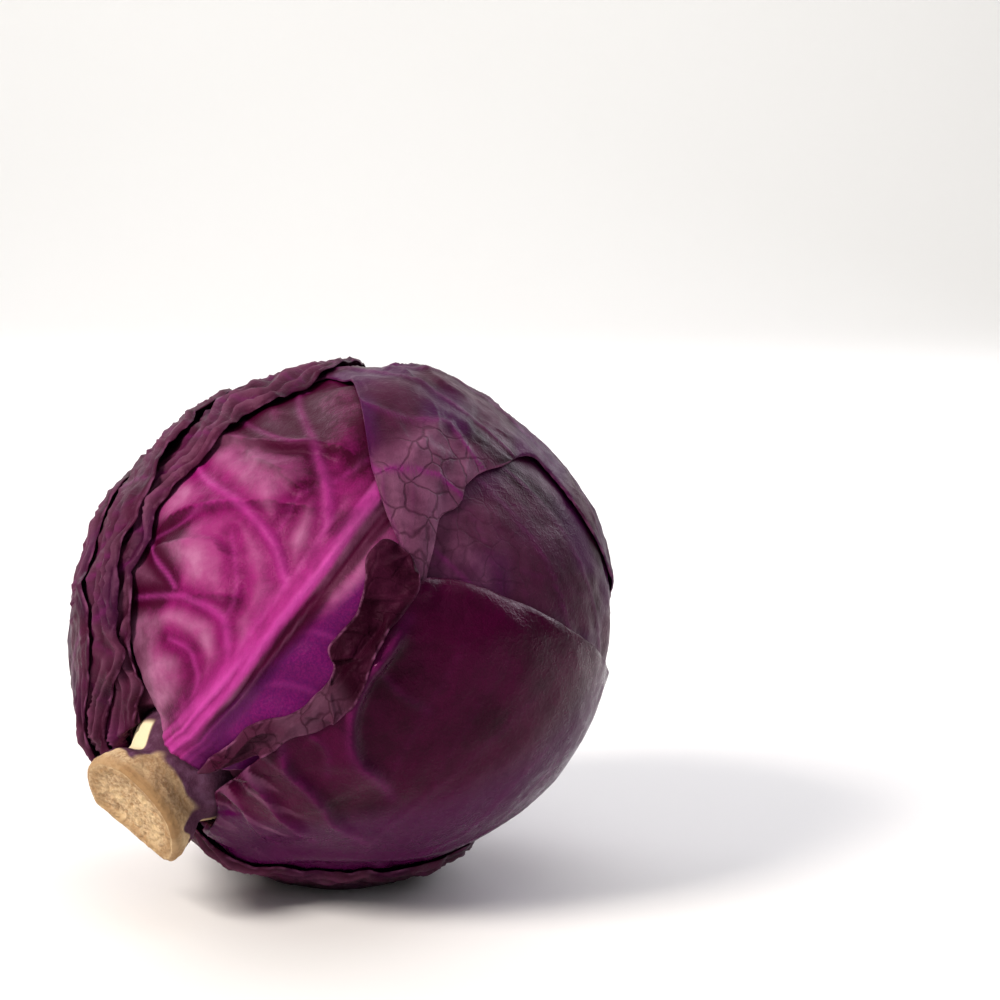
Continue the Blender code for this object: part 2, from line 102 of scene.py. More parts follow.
# The azimuths of its light leaf scar and of the middle of the skin left on it.
SCAR_AT = 80
SKIN_AT = 20
CORE_CLEARANCE = 0.5 * MM
CORE_MOUTH = 68.0
ROUND_POINTS = 241
CUT_RINGS = 44

# The heart's own leaf edges show as low spiral steps.
HEART_STEP = 1.3 * MM
HEART_LEAVES = 3
HEART_TWIST = 0.45

# The photograph: its size, where the head's centre is in it, and how it was taken.
PHOTO_PIXELS = 1000
HEAD_PIXEL = (347.5, 626.0)
MM_PER_PIXEL = 0.307
LENS = 100.0
SENSOR = 36.0
CAMERA_ELEVATION = math.radians(12)


def unit(vectors):
    """The same vectors with a length of 1."""
    return vectors / np.linalg.norm(vectors, axis=-1, keepdims=True)


def axes_of_head():
    """The stalk's direction, the front midrib's direction square to it, and the third one."""
    level = math.cos(STALK_DIP)
    stalk = np.array([
        -math.sin(STALK_HEADING) * level,
        -math.cos(STALK_HEADING) * level,
        -math.sin(STALK_DIP),
    ])
    top = np.array([0.0, 0.0, 1.0])
    top = unit(top - top.dot(stalk) * stalk)
    front = top * math.cos(FRONT_RIB_FROM_TOP) + np.cross(stalk, top) * math.sin(FRONT_RIB_FROM_TOP)
    return stalk, front, np.cross(stalk, front)


STALK, FRONT, SIDE = axes_of_head()
WIDE_AXIS = np.array([math.cos(HEAD_ROLL), 0, math.sin(HEAD_ROLL)])
TALL_AXIS = np.array([-math.sin(HEAD_ROLL), 0, math.cos(HEAD_ROLL)])
DEEP_AXIS = np.array([0.0, 1.0, 0.0])
DOWN = np.array([0.0, 0.0, -1.0])
CENTRE = np.array([0.0, 0.0, REST_HEIGHT])


def direction(polar, azimuth):
    """Directions from the head's centre, by their angles in degrees."""
    polar = np.radians(np.asarray(polar, float))[..., None]
    azimuth = np.radians(np.asarray(azimuth, float))[..., None]
    out = np.cos(azimuth) * FRONT + np.sin(azimuth) * SIDE
    return np.cos(polar) * STALK + np.sin(polar) * out


def angles(outs):
    """Polar angles and azimuths of directions, in degrees."""
    polar = np.degrees(np.arccos(np.clip(outs @ STALK, -1, 1)))
    return polar, np.degrees(np.arctan2(outs @ SIDE, outs @ FRONT))


def smooth_step(low, high, value):
    """A share that eases from 0 at low to 1 at high; low may be the larger."""
    share = np.clip((value - low) / (high - low), 0, 1)
    return share * share * (3 - 2 * share)


def turned_by(azimuth, middle):
    """Degrees from a middle azimuth, between -180 and 180."""
    return (azimuth - middle + 180) % 360 - 180


def flatness(outs):
    """1 at the middle of the spot that the head rests on, and 0 away from it."""
    off = np.degrees(np.arccos(np.clip(outs @ DOWN, -1, 1)))
    return 1 - smooth_step(FLAT_ANGLE * 0.8, FLAT_ANGLE * 1.6, off)


def headroom(cover, outs):
    """How far out a piece may reach, with this many leaves between it and the surface."""
    below = outs @ DOWN
    return np.where(below > 0.5, (REST_HEIGHT - cover * LAYER) / np.maximum(below, 0.5), 1.0)


def heart_radius(outs):
    """Distance from the head's centre to the heart's smooth surface."""
    polar, azimuth = angles(outs)
    swing = STACK_SWING * np.cos(np.radians(azimuth - STACK_THINNEST_AT))
    under = STACK_MEAN - swing * np.sin(np.radians(polar)) + STACK_TAPER * np.cos(np.radians(polar))
    scaled = (
        (outs @ WIDE_AXIS / (HEAD_WIDE - under)) ** 2
        + (outs @ DEEP_AXIS / (HEAD_DEEP - under)) ** 2
        + (outs @ TALL_AXIS / (HEAD_TALL - under)) ** 2
    )
    radius = (1 + NECK_RISE * np.exp(-((polar / NECK_ANGLE) ** 2))) / np.sqrt(scaled)
    return np.minimum(radius, headroom(HEART_COVER, outs))


def noise(points, size, seed):
    """Smooth lumps between about -1 and 1, of this width in metres."""
    side = 32
    table = np.random.default_rng(seed).uniform(-1, 1, (side, side, side))
    place = points / size + 40.0
    low = np.floor(place).astype(int)
    part = place - low
    part = part ** 3 * (part * (part * 6 - 15) + 10)
    total = 0.0
    for corner in np.ndindex(2, 2, 2):
        weight = np.prod(np.where(corner, part, 1 - part), axis=-1)
        total = total + weight * table[tuple(np.moveaxis((low + corner) % side, -1, 0))]
    return total


def curve_through(points, steps=10):
    """Points along a smooth curve through the given ones, one span after another."""
    points = np.asarray(points, float)
    ends = np.vstack([2 * points[0] - points[1], points, 2 * points[-1] - points[-2]])
    t = np.arange(steps)[:, None] / steps
    curve = []
    for p0, p1, p2, p3 in zip(ends, ends[1:], ends[2:], ends[3:]):
        bend = (2 * p0 - 5 * p1 + 4 * p2 - p3) * t ** 2 + (3 * p1 - p0 - 3 * p2 + p3) * t ** 3
        curve.append(0.5 * (2 * p1 + (p2 - p0) * t + bend))
    return np.vstack([*curve, points[-1:]])


def placed_along(curve, places, at):
    """The curve's points at these places, by linear interpolation."""
    return np.stack([np.interp(at, places, curve[:, k]) for k in range(curve.shape[1])], -1)


@dataclass
class Line:
    """A vein or a fold, through (polar, azimuth) points in degrees or through directions.

    Widths and heights are in millimetres, at its start and at its end, and mark is how strongly
    it is coloured. A fold falls gently on one side, 1 for the left of its run and -1 for the
    right, over so many millimetres, and steeply on the other.
    """

    points: list
    width: tuple = (1.6, 0.9)
    height: tuple = (0.8, 0.3)
    mark: float = 1.0
    side: int = 0
    gentle: float = 7.0


@dataclass
class Relief:
    """What lines do to each place: height, colour mark, distance, and painted shade at a steep foot."""

    height: np.ndarray
    mark: np.ndarray
    far: np.ndarray
    painted_foot_shade: np.ndarray


class Traces:
    """Lines of one kind as close samples, to find how far each place is from the nearest."""

    STEPS = 24

    def __init__(self, lines):
        places, values = [], []
        for line in lines:
            points = np.asarray(line.points, float)
            if points.shape[1] == 2:
                points = direction(points[:, 0], points[:, 1])
            curve = unit(curve_through(points, self.STEPS)) * CHART_RADIUS
            share = np.linspace(0, 1, len(curve))
            ends = smooth_step(0, 0.15, share) * smooth_step(1, 0.75, share) if line.side else 1
            width = np.interp(share, (0, 1), line.width) * MM
            height = np.interp(share, (0, 1), line.height) * MM * ends
            run = unit(np.gradient(curve, axis=0))
            fixed = np.array([line.mark, line.side, line.gentle * MM])
            values.append(np.column_stack([width, height, run, np.tile(fixed, (len(curve), 1))]))
            places.append(curve)
        self.places, self.values = np.vstack(places), np.vstack(values)
        self.tree = KDTree(len(self.places))
        for k, place in enumerate(self.places):
            self.tree.insert(place, k)
        self.tree.balance()

    def relief(self, outs):
        """What the nearest line does to each of these directions."""
        flat = outs.reshape(-1, 3)
        found = [self.tree.find(place)[1:] for place in flat * CHART_RADIUS]
        index, far = (np.array(part) for part in zip(*found))
        near = self.values[index]
        width, height, run, mark, side, gentle = (
            near[:, 0], near[:, 1], near[:, 2:5], near[:, 5], near[:, 6], near[:, 7])
        across = flat * CHART_RADIUS - self.places[index]
        left = np.einsum("ij,ij->i", across, np.cross(flat, run))
        is_gentle = left * side > 0
        steep = np.exp(-((far / width) ** 2))
        raised = height * np.where(is_gentle, np.exp(-far / gentle), steep)
        # Painted shade: a dark mark at the foot of a fold's steep side, where it would lie in shadow.
        painted_foot_shade = np.where(is_gentle, 0, height) / MM * np.exp(-far / (2.5 * MM))
        parts = (raised, mark * steep, far, painted_foot_shade)
        return Relief(*(part.reshape(outs.shape[:-1]) for part in parts))


@dataclass
class Leaf:
    """A wrapper leaf. Its rows run from the stalk to the tip.

    Each row holds (polar, azimuth) points in degrees: one margin, the midrib and the other
    margin. A row of two points has its midrib halfway. Cover is how many leaves lie on it, lift
    how far its margin stands off in millimetres, and across and along its cells. Quilt, wrinkle,
    rib, strands and ruffle are strengths. Pleats are a fold's height, spacing and reach in
    millimetres. Where it is lifted more, that is from, to, at which azimuth and by how much.
    """

    name: str
    rows: list
    look: str = "dusky"
    cover: int = 1
    seed: int = 1
    across: int = 120
    along: int = 150
    rib: float = 1.0
    strands: float = 0.0
    veins: list = field(default_factory=list)
    folds: list = field(default_factory=list)
    quilt: float = 1.0
    wrinkle: float = 1.0
    lift: float = 0.6
    ruffle: float = 1.0
    pleats: tuple = ()
    lifted: tuple = ()


@dataclass
class Grid:
    """Places of a blade: rows from the stalk to the tip, columns from margin to margin.

    Each has its direction, and its distances across and along the midrib and to the margin.
    """

    outs: np.ndarray
    across: np.ndarray
    along: np.ndarray
    margin: np.ndarray

    def at(self, u, v):
        """The direction at u, from -1 to 1 across, and v, from 0 to 1 up the blade."""
        rows, columns = self.outs.shape[:2]
        row = np.clip(v, 0, 1) * (rows - 1)
        column = (np.clip(u, -1, 1) + 1) / 2 * (columns - 1)
        r, c = min(int(row), rows - 2), min(int(column), columns - 2)
        a, b = row - r, column - c
        low = self.outs[r, c] * (1 - b) + self.outs[r, c + 1] * b
        high = self.outs[r + 1, c] * (1 - b) + self.outs[r + 1, c + 1] * b
        return unit(low * (1 - a) + high * a)


def crossing(near, middle, far, u):
    """Directions on the rows through two margins and a midrib; u is -1, 0 and 1 there."""
    first = np.arccos(np.clip((near * middle).sum(-1), -1, 1))
    second = np.arccos(np.clip((middle * far).sum(-1), -1, 1))
    node = (first / (first + second))[:, None, None]
    u = u[..., None]
    share = np.where(u < 0, node * (1 + u), node + (1 - node) * u)
    low = (share - node) * (share - 1) / node
    rib = share * (share - 1) / (node * (node - 1))
    high = share * (share - node) / (1 - node)
    return unit(near[:, None] * low + middle[:, None] * rib + far[:, None] * high)


def leaf_grid(leaf):
    """The blade's places, with a fine wave in its margins."""
    lines = []
    for row in leaf.rows:
        ends = [direction(*p) for p in row]
        lines.append(ends if len(ends) == 3 else [ends[0], unit(ends[0] + ends[1]), ends[1]])
    curves = [unit(curve_through([line[k] for line in lines], 8)) for k in range(3)]
    steps = [np.arccos(np.clip((c[1:] * c[:-1]).sum(-1), -1, 1)) for c in curves]
    places = np.concatenate([[0], np.cumsum(sum(steps))])
    share = np.linspace(0, 1, leaf.along + 1)
    near, middle, far = (unit(placed_along(c, places, share * places[-1])) for c in curves)
    u = np.linspace(-1, 1, leaf.across + 1)
    u = u * (1.3 - 0.3 * u * u)
    u = np.tile(u, (leaf.along + 1, 1))
    half = np.arccos(np.clip((near * far).sum(-1), -1, 1)) * CHART_RADIUS / 2
    for column, edge in ((0, near), (-1, far)):
        wave = noise(edge * CHART_RADIUS, 13 * MM, leaf.seed) + 0.4 * noise(
            edge * CHART_RADIUS, 5 * MM, leaf.seed + 1)
        reach = leaf.ruffle * 1.1 * MM * wave / np.maximum(half, 8 * MM)
        side = u[:, [column]]
        beside = np.clip(u * side, 0, None) ** 6
        u = u + side * reach[:, None] * beside
    outs = crossing(near, middle, far, u)
    along = np.concatenate([[0], np.cumsum(np.linalg.norm(np.diff(middle, axis=0), axis=-1))])
    along = np.tile((along * CHART_RADIUS)[:, None], (1, leaf.across + 1))
    gap = np.linalg.norm(outs - middle[:, None], axis=-1) * CHART_RADIUS
    across = np.sign(u) * gap
    sides = np.minimum(
        np.linalg.norm(outs - outs[:, :1], axis=-1), np.linalg.norm(outs - outs[:, -1:], axis=-1))
    tip = np.linalg.norm(outs - outs[-1:], axis=-1)
    margin = np.minimum(sides, tip) * CHART_RADIUS
    return Grid(outs, across, along, margin)


def pinnate(leaf, grid):
    """A midrib, the side veins that leave it in turn, and their forks, in three lists."""
    rng = np.random.default_rng(leaf.seed)
    rib = [Line([grid.at(0, v) for v in np.linspace(0, 0.95, 9)], (7.0, 1.2), (3.4, 0.3), 0.8)]
    sides, forks = [], []
    for side in (-1, 1):
        for k in range(VEIN_PAIRS):
            start = 0.12 + 0.74 * (k + 0.3 * (side > 0) + rng.uniform(-0.12, 0.12)) / VEIN_PAIRS
            rise = rng.uniform(0.13, 0.2) * (1 - 0.5 * start)
            sway = rng.uniform(-0.02, 0.02, 6)
            shares = np.linspace(0, 1, 6)
            course = [
                (side * 0.93 * t, start + rise * t ** 0.8 + s * t) for t, s in zip(shares, sway)
            ]
            size = 1 - 0.55 * start
            sides.append(Line([grid.at(u, v) for u, v in course],
                              (2.6 * size, 0.9), (1.5 * size, 0.35), 0.9))
            for at in (2, 3, 4):
                turn = rng.choice((-1, 1))
                u, v = course[at]
                reach = rng.uniform(0.18, 0.3)
                ends = [
                    (u + side * reach * t, v + turn * 0.4 * reach * t ** 0.8) for t in (0.35, 0.7, 1)
                ]
                forks.append(Line([grid.at(*p) for p in [(u, v), *ends]],
                                  (1.3, 0.6), (0.55, 0.12), 0.5))
    return rib, sides, forks


class Pile:
    """What has been laid on the head so far, as surfaces seen from its centre."""

    def __init__(self):
        self.trees = []

    def add(self, points):
        """Lays a grid of points on the head."""
        rows, columns = points.shape[:2]
        faces = grid_quads(rows, columns).tolist()
        self.trees.append(BVHTree.FromPolygons(points.reshape(-1, 3).tolist(), faces))

    def top(self, outs):
        """Distance from the centre to the outermost surface, or 0 where there is none."""
        found = np.zeros(len(outs))
        starts, ways = (outs * RAY_REACH).tolist(), (-outs).tolist()
        for tree in self.trees:
            cast = tree.ray_cast
            hits = [cast(start, way, RAY_REACH)[0] for start, way in zip(starts, ways)]
            reach = np.array([hit.length if hit else 0.0 for hit in hits])
            found = np.maximum(found, reach)
        return found


def widest(values, rounds):
    """Each place's highest value within so many cells."""
    for _ in range(rounds):
        padded = np.pad(values, 1, mode="edge")
        rows, columns = values.shape
        values = np.max(
            [padded[i:i + rows, j:j + columns] for i in range(3) for j in range(3)], axis=0)
    return values


def neighbours_mean(values):
    """The mean of each place's neighbours; along a margin, of those on the margin."""
    mean = values.copy()
    mean[1:-1, 1:-1] = (
        values[:-2, 1:-1] + values[2:, 1:-1] + values[1:-1, :-2] + values[1:-1, 2:]) / 4
    for edge in (0, -1):
        mean[1:-1, edge] = (values[:-2, edge] + values[2:, edge]) / 2
        mean[edge, 1:-1] = (values[edge, :-2] + values[edge, 2:]) / 2
    return mean


def solid_inside(name, outs):
    """Distance from the centre to the inner face of a leaf's solid, or NaN beside it."""
    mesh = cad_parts[name].data
    points = np.empty(len(mesh.vertices) * 3)
    mesh.vertices.foreach_get("co", points)
    faces = [tuple(face.vertices) for face in mesh.polygons]
    tree = BVHTree.FromPolygons((points.reshape(-1, 3) - CENTRE).tolist(), faces)
    hits = [tree.ray_cast((0, 0, 0), out)[0] for out in outs.reshape(-1, 3).tolist()]
    return np.array([hit.length if hit else math.nan for hit in hits]).reshape(outs.shape[:2])


def filled(values):
    """Missing values taken from the places beside them."""
    while np.isnan(values).any():
        padded = np.pad(values, 1, constant_values=math.nan)
        beside = [padded[:-2, 1:-1], padded[2:, 1:-1], padded[1:-1, :-2], padded[1:-1, 2:]]
        known = [~np.isnan(part) for part in beside]
        count = sum(part.astype(int) for part in known)
        total = sum(np.nan_to_num(part) for part in beside)
        mean = total / np.maximum(count, 1)
        values = np.where(np.isnan(values) & (count > 0), mean, values)
    return values


def drape(leaf, grid, pile, sizes):
    """Radii of the blade's inner face: where its solid has it, but clear of what lies under."""
    shape = grid.outs.shape[:2]
    base = filled(solid_inside(leaf.name, grid.outs))
    for _ in range(EASE_ROUNDS):
        base = (base + neighbours_mean(base)) / 2
    top = pile.top(grid.outs.reshape(-1, 3)).reshape(shape) + sizes.gap
    below = grid.outs @ DOWN
    wide, level = widest(top, 1), widest(top * np.maximum(below, 0.5), 1) / np.maximum(below, 0.5)
    hugging = np.exp(-grid.margin / (9 * MM)) * (1 - flatness(grid.outs))
    base = base + (np.minimum(base, top) - base) * hugging
    least = np.maximum(base, np.where(below > 0.5, np.minimum(wide, level), wide))
    most = headroom(leaf.cover, grid.outs) - sizes.blade
    radii = least
    for _ in range(BRIDGE_ROUNDS):
        radii = np.maximum(least, np.minimum(most, neighbours_mean(radii)))
    for _ in range(SMOOTH_ROUNDS):
        radii = np.maximum(top, (radii + neighbours_mean(radii)) / 2)
    return radii


def beside_midrib(leaf, polar, azimuth):
    """Distance from the midrib, positive on its left when the stalk points down."""
    path = np.array(leaf.veins[0][0].points)
    off = turned_by(azimuth, np.interp(polar, path[:, 0], path[:, 1]))
    return np.radians(off) * np.sin(np.radians(polar)) * CHART_RADIUS


def smooth_highest(*heights, blend=0.25 * MM):
    """The highest of several reliefs, with soft joins."""
    return blend * np.log(sum(np.exp(height / blend) for height in heights)) - blend * math.log(
        len(heights))


def blade_relief(leaf, grid, sizes):
    """Heights above the draped sheet of the blade and of its ribs, and what colours it."""
    outs = grid.outs
    chart = outs * CHART_RADIUS
    reliefs = [Traces(lines).relief(outs) for lines in leaf.veins or pinnate(leaf, grid) if lines]
    far = np.min([r.far for r in reliefs], axis=0)
    vein = np.max([r.mark for r in reliefs], axis=0)
    ribs = leaf.rib * smooth_highest(*(r.height for r in reliefs))
    strands = far * 0
    if leaf.strands:
        beside = beside_midrib(leaf, *angles(outs))
        strands = noise(np.stack([beside, grid.along * 0.04, far * 0], -1), 1.1 * MM, 7)
        strands = strands * np.exp(-((beside / (6 * MM)) ** 2)) * leaf.strands
    between = 1 - np.exp(-((far / (8 * MM)) ** 2))
    puffs = between * (0.65 + 0.5 * noise(chart, 13 * MM, leaf.seed + 2))
    crumple = noise(chart, 6 * MM, leaf.seed + 3) * 0.3 + 0.1 * noise(chart, 2.4 * MM, leaf.seed + 4)
    creases = 1 - np.abs(noise(chart, 10 * MM, leaf.seed + 5)) * 5
    creases = np.clip(creases, 0, 1) ** 2 * 0.35
    rise = leaf.quilt * sizes.quilt * puffs
    rise = rise + leaf.wrinkle * sizes.wrinkle * (crumple + creases)
    folds = [Traces([line]).relief(outs) for line in leaf.folds]
    rise = rise + sizes.fold * sum(fold.height for fold in folds)
    pleats = pleat_relief(leaf, grid)
    rise = rise + pleats + margin_lift(leaf, grid)
    calm = 1 - flatness(outs)
    marks = {
        "vein": np.max([vein, *(fold.mark for fold in folds)], axis=0),
        # Painted shade at the feet of the folds.
        "painted_foot_shade": sum((fold.painted_foot_shade for fold in folds), 0 * vein),
        "far": far,
        "puffs": puffs,
        "strands": strands,
        "pleats": pleats / (leaf.pleats[0] * MM) if leaf.pleats else puffs,
    }
    return rise * calm, np.maximum(ribs + 0.3 * MM * strands, 0) * calm, marks


def pleat_relief(leaf, grid):
    """Folds that run beside a waved margin; their height, spacing and reach in millimetres."""
    if not leaf.pleats:
        return 0.0
    height, spacing, reach = (value * MM for value in leaf.pleats)
    chart = grid.outs * CHART_RADIUS
    turn = grid.margin / spacing + 0.9 * noise(chart, 22 * MM, leaf.seed + 6)
    turn = turn + 0.45 * noise(chart, 8 * MM, leaf.seed + 7)
    fold = np.abs(2 * (turn % 1) - 1) ** 1.6
    share = smooth_step(reach, reach * 0.4, grid.margin) * smooth_step(0, 2 * MM, grid.margin)
    return height * fold * share * (0.6 + 0.5 * noise(chart, 15 * MM, leaf.seed + 8))


def margin_lift(leaf, grid):
    """How far the waved margin stands off what lies under it."""
    polar, azimuth = angles(grid.outs)
    lift = np.full(polar.shape, leaf.lift)
    for low, high, turn, extra in leaf.lifted:
        lift = lift + extra * smooth_step(low, low + 12, polar) * smooth_step(
            high, high - 12, polar) * smooth_step(35, 20, np.abs(turned_by(azimuth, turn)))
    chart = grid.outs * CHART_RADIUS
    wave = 0.6 + 0.6 * noise(chart, 9 * MM, leaf.seed + 9) + 0.25 * noise(chart, 4 * MM, leaf.seed + 10)
    reach = np.exp(-grid.margin / (4 * MM)) * smooth_step(15, 26, polar)
    return lift * MM * np.maximum(wave, 0.1) * reach


def thickness(grid, sizes):
    """The blade's thickness, thinner towards its margin and rounded off at the very edge."""
    near = np.exp(-grid.margin / (5 * MM))
    thick = sizes.blade + (sizes.margin - sizes.blade) * near
    edge = np.clip(grid.margin / (0.5 * MM), 0, 1)
    thick = thick * (0.35 + 0.65 * np.sqrt(edge * (2 - edge)))
    return thick + flatness(grid.outs) * FLAT_FILL


def leaf_surfaces(leaf, grid, pile, sizes):
    """Inner and outer face of one draped blade round the centre, and what colours it."""
    radii = drape(leaf, grid, pile, sizes)
    rise, ribs, marks = blade_relief(leaf, grid, sizes)
    thick = thickness(grid, sizes)
    full = thick + ribs * smooth_step(0, 3 * MM, grid.margin)
    top = np.minimum(radii + rise + full, headroom(leaf.cover, grid.outs))
    low = np.minimum(radii + rise, top - np.minimum(thick, 0.75 * MM))
    return grid.outs * low[..., None], grid.outs * top[..., None], marks


# Veins by kind: the midrib, side veins and forks. They and the folds lie where the photograph
# shows them; those out of its sight are guessed.
FRONT_VEINS = (
    [Line([(4.5, 21), (20, 2), (33, -0.5), (44, 0), (56, 1), (66, 1.5), (76, 3),
           (85, 4), (93.5, 6), (106, 12)], (7.4, 2.4), (5.0, 1.2), 1.0)],
    [Line([(51, 1.5), (59.5, 3.5), (66, 4), (71.5, 5.5), (75.5, 8.5), (80, 13),
           (84.5, 19.5), (87.5, 23.5), (91.5, 29.5), (97.5, 38), (106.5, 48.5),
           (105, 44)], (2.8, 1.0), (1.9, 0.6), 0.7),
     Line([(48.5, 2), (58, 4.5), (60.5, 8), (64, 14.5), (66.5, 23), (68, 30.5),
           (70.5, 43), (75, 52.5), (80.5, 61.5)], (2.4, 1.0), (1.5, 0.7), 0.7),
     Line([(20.5, 8.5), (32.5, 4.5), (38, 5), (41, 9), (44.5, 14.5), (45, 20.5),
           (44.5, 27), (44, 34.5), (41.5, 57.5)], (2.4, 0.9), (1.4, 0.4), 0.65),
     Line([(87.5, 23.5), (85, 28.5), (86, 38), (90, 50.5), (96, 60.5)], (1.4, 0.9), (0.9, 0.5), 0.6),
     Line([(63, 71), (54.5, 56.5), (51, 50), (47.5, 41.5), (45.5, 37)], (1.1, 1.0), (0.8, 0.4), 0.7),
     Line([(18.5, 15.5), (25, 10.5), (29.5, 11.5), (32, 16), (34.5, 22), (34.5, 33)],
          (1.6, 0.8), (0.7, 0.2), 0.5),
     Line([(46.5, -1.5), (55, -7), (59.5, -16), (61.5, -26.5)], (1.4, 0.9), (0.6, 0.3), 0.3),
     Line([(33, -4), (42, -11.5), (48.5, -22.5), (51, -35.5)], (1.4, 0.9), (0.6, 0.3), 0.3),
     Line([(93.5, 6), (98.5, 4), (106, 5.5)], (1.4, 0.8), (0.8, 0.4), 0.7)],
    [Line([(68, 30.5), (64, 39.5), (58, 47), (54.5, 56)], (1.0, 0.7), (0.4, 0.2), 0.4),
     Line([(64, 14.5), (70.5, 16.5), (76, 16.5), (81, 14)], (1.0, 0.7), (0.35, 0.2), 0.3),
     Line([(44.5, 14.5), (51, 15.5), (56.5, 21), (61, 26.5)], (1.0, 0.7), (0.4, 0.2), 0.4),
     Line([(80, 13), (85.5, 12), (90.5, 11)], (1.0, 0.7), (0.4, 0.2), 0.4)],
)
FRONT_FOLDS = (
    Line([(79, 59.5), (81.5, 48), (82, 40.5), (83.5, 29.5), (86.5, 22.5), (88.5, 14.5),
           (90, 7.5)],
         (1.3, 1.3), (1.9, 1.9), 0, 1, 8),
    Line([(55.5, 55.5), (61.5, 46.5), (65, 37.5), (68.5, 27.5), (72, 19), (74.5, 13),
           (75.5, 7.5)],
         (1.3, 1.3), (1.5, 1.3), 0, 1, 8),
    Line([(51.5, 53.5), (54, 45), (57.5, 31.5), (57, 26.5), (57, 17.5)],
         (1.2, 1.2), (1.2, 0.9), 0, -1, 9),
    Line([(81.5, 40), (78, 32), (77.5, 25), (77, 20), (76, 14.5)],
         (1.3, 1.3), (1.4, 1.2), 0, 1, 6),
    Line([(51.5, 12), (47.5, 22.5), (44, 33.5)], (1.2, 1.2), (1.0, 0.7), 0, -1, 6),
)
CROWN_VEINS = (
    [Line([(60, 103), (92, 103), (118, 95), (135, 75), (141, 40), (137, 8), (135, -16)],
          (6, 1.6), (2.6, 0.7), 0.8)],
    [Line([(118, 95), (116, 60), (116.5, 39), (115, 25.5), (117, 19.5), (117.5, 11.5),
           (119.5, 0.5), (120.5, -7)], (2.2, 1.0), (1.2, 0.7)),
     Line([(104, 60), (110, 52), (100.5, 25), (103, 12), (109.5, 6.5), (109, -0.5),
           (109.5, -6)],
          (1.8, 1.0), (0.8, 0.8)),
     Line([(94, 18.5), (88.5, 8), (91.5, 4.5), (97, -1), (98.5, -4.5), (99.5, -8)],
          (1.4, 1.0), (0.7, 0.8)),
     Line([(126, 86), (128, 55), (126, 30), (131, 25.5), (133, 18), (136, 9),
           (135, -2.5)],
          (2.2, 1.0), (1.2, 0.5)),
     Line([(100, 105), (112, 118), (120, 136), (122, 150)], (2.4, 1.0), (1.2, 0.4)),
     Line([(118, 95), (131, 106), (136, 124), (137, 145)], (2.2, 1.0), (1.2, 0.4)),
     Line([(131, 82), (146, 92), (149, 112), (145, 150)], (2.0, 1.0), (1.1, 0.4)),
     Line([(138, 60), (156, 68), (163, 95), (154, 160)], (2.0, 1.0), (1.0, 0.4)),
     Line([(141, 40), (158, 34), (172, 30), (160, -140)], (1.8, 1.0), (1.0, 0.4)),
     Line([(140, 24), (152, 8), (160, -20), (152, -90)], (1.6, 1.0), (0.9, 0.4)),
     Line([(138, 10), (145, -10), (147, -34), (141, -68)], (1.6, 1.0), (0.8, 0.4)),
     Line([(139, -2.5), (143, -18.5), (137, -34), (134, -46)], (1.4, 0.9), (0.7, 0.3)),
     Line([(89.5, 6.5), (85, 2), (81.5, -5.5), (78.5, -13.5)], (1.0, 0.6), (0.5, 0.3), 0.5)],
    [Line([(97.5, 13.5), (100, 11.5), (103.5, 9.5), (108, 12)], (0.9, 0.6), (0.4, 0.2), 0.4),
     Line([(109, 2), (104.5, 1), (100.5, -1), (97.5, -1)], (0.9, 0.6), (0.35, 0.2), 0.3),
     Line([(119.5, 4.5), (114, 2), (110, 3)], (0.9, 0.6), (0.35, 0.2), 0.3),
     Line([(93.5, 2), (89, -2), (85, -5.5), (80.5, -8.5)], (0.9, 0.6), (0.35, 0.2), 0.3),
     Line([(149, 112), (158, 118), (160, 140)], (1.2, 0.7), (0.5, 0.2), 0.4),
     Line([(156, 68), (165, 50), (172, 60)], (1.2, 0.7), (0.5, 0.2), 0.4),
     Line([(128, 55), (134, 48), (139, 50)], (1.2, 0.7), (0.5, 0.2), 0.4),
     Line([(152, 8), (147, -6), (141, -12)], (1.0, 0.6), (0.4, 0.2), 0.4)],
)
CROWN_FOLDS = (
    Line([(119, 34), (121.5, 32), (117.5, 22.5), (116, 14.5)], (1.2, 1.0), (0.9, 0.7), 0, -1, 6),
    Line([(125, 40), (129, 35.5), (122.5, 19), (124, 10)], (1.2, 1.0), (1.0, 0.8), 0, 1, 6),
    Line([(133, 40), (130, 26), (136, 19), (139.5, 4.5)], (1.2, 1.0), (1.0, 0.8), 0, -1, 7),
    Line([(116, 7.5), (110, 6.5), (104.5, 6.5), (98.5, 5.5), (94, 4.5)],
         (2.0, 2.0), (0.9, 0.8), 0, -1, 8),
    Line([(104.5, 0), (101.5, 3), (101, 7.5)], (1.0, 1.0), (0.6, 0.5), 0, 1, 5),
    Line([(115, -2), (114, 2), (115, 6.5)], (1.0, 1.0), (0.6, 0.5), 0, 1, 5),
)
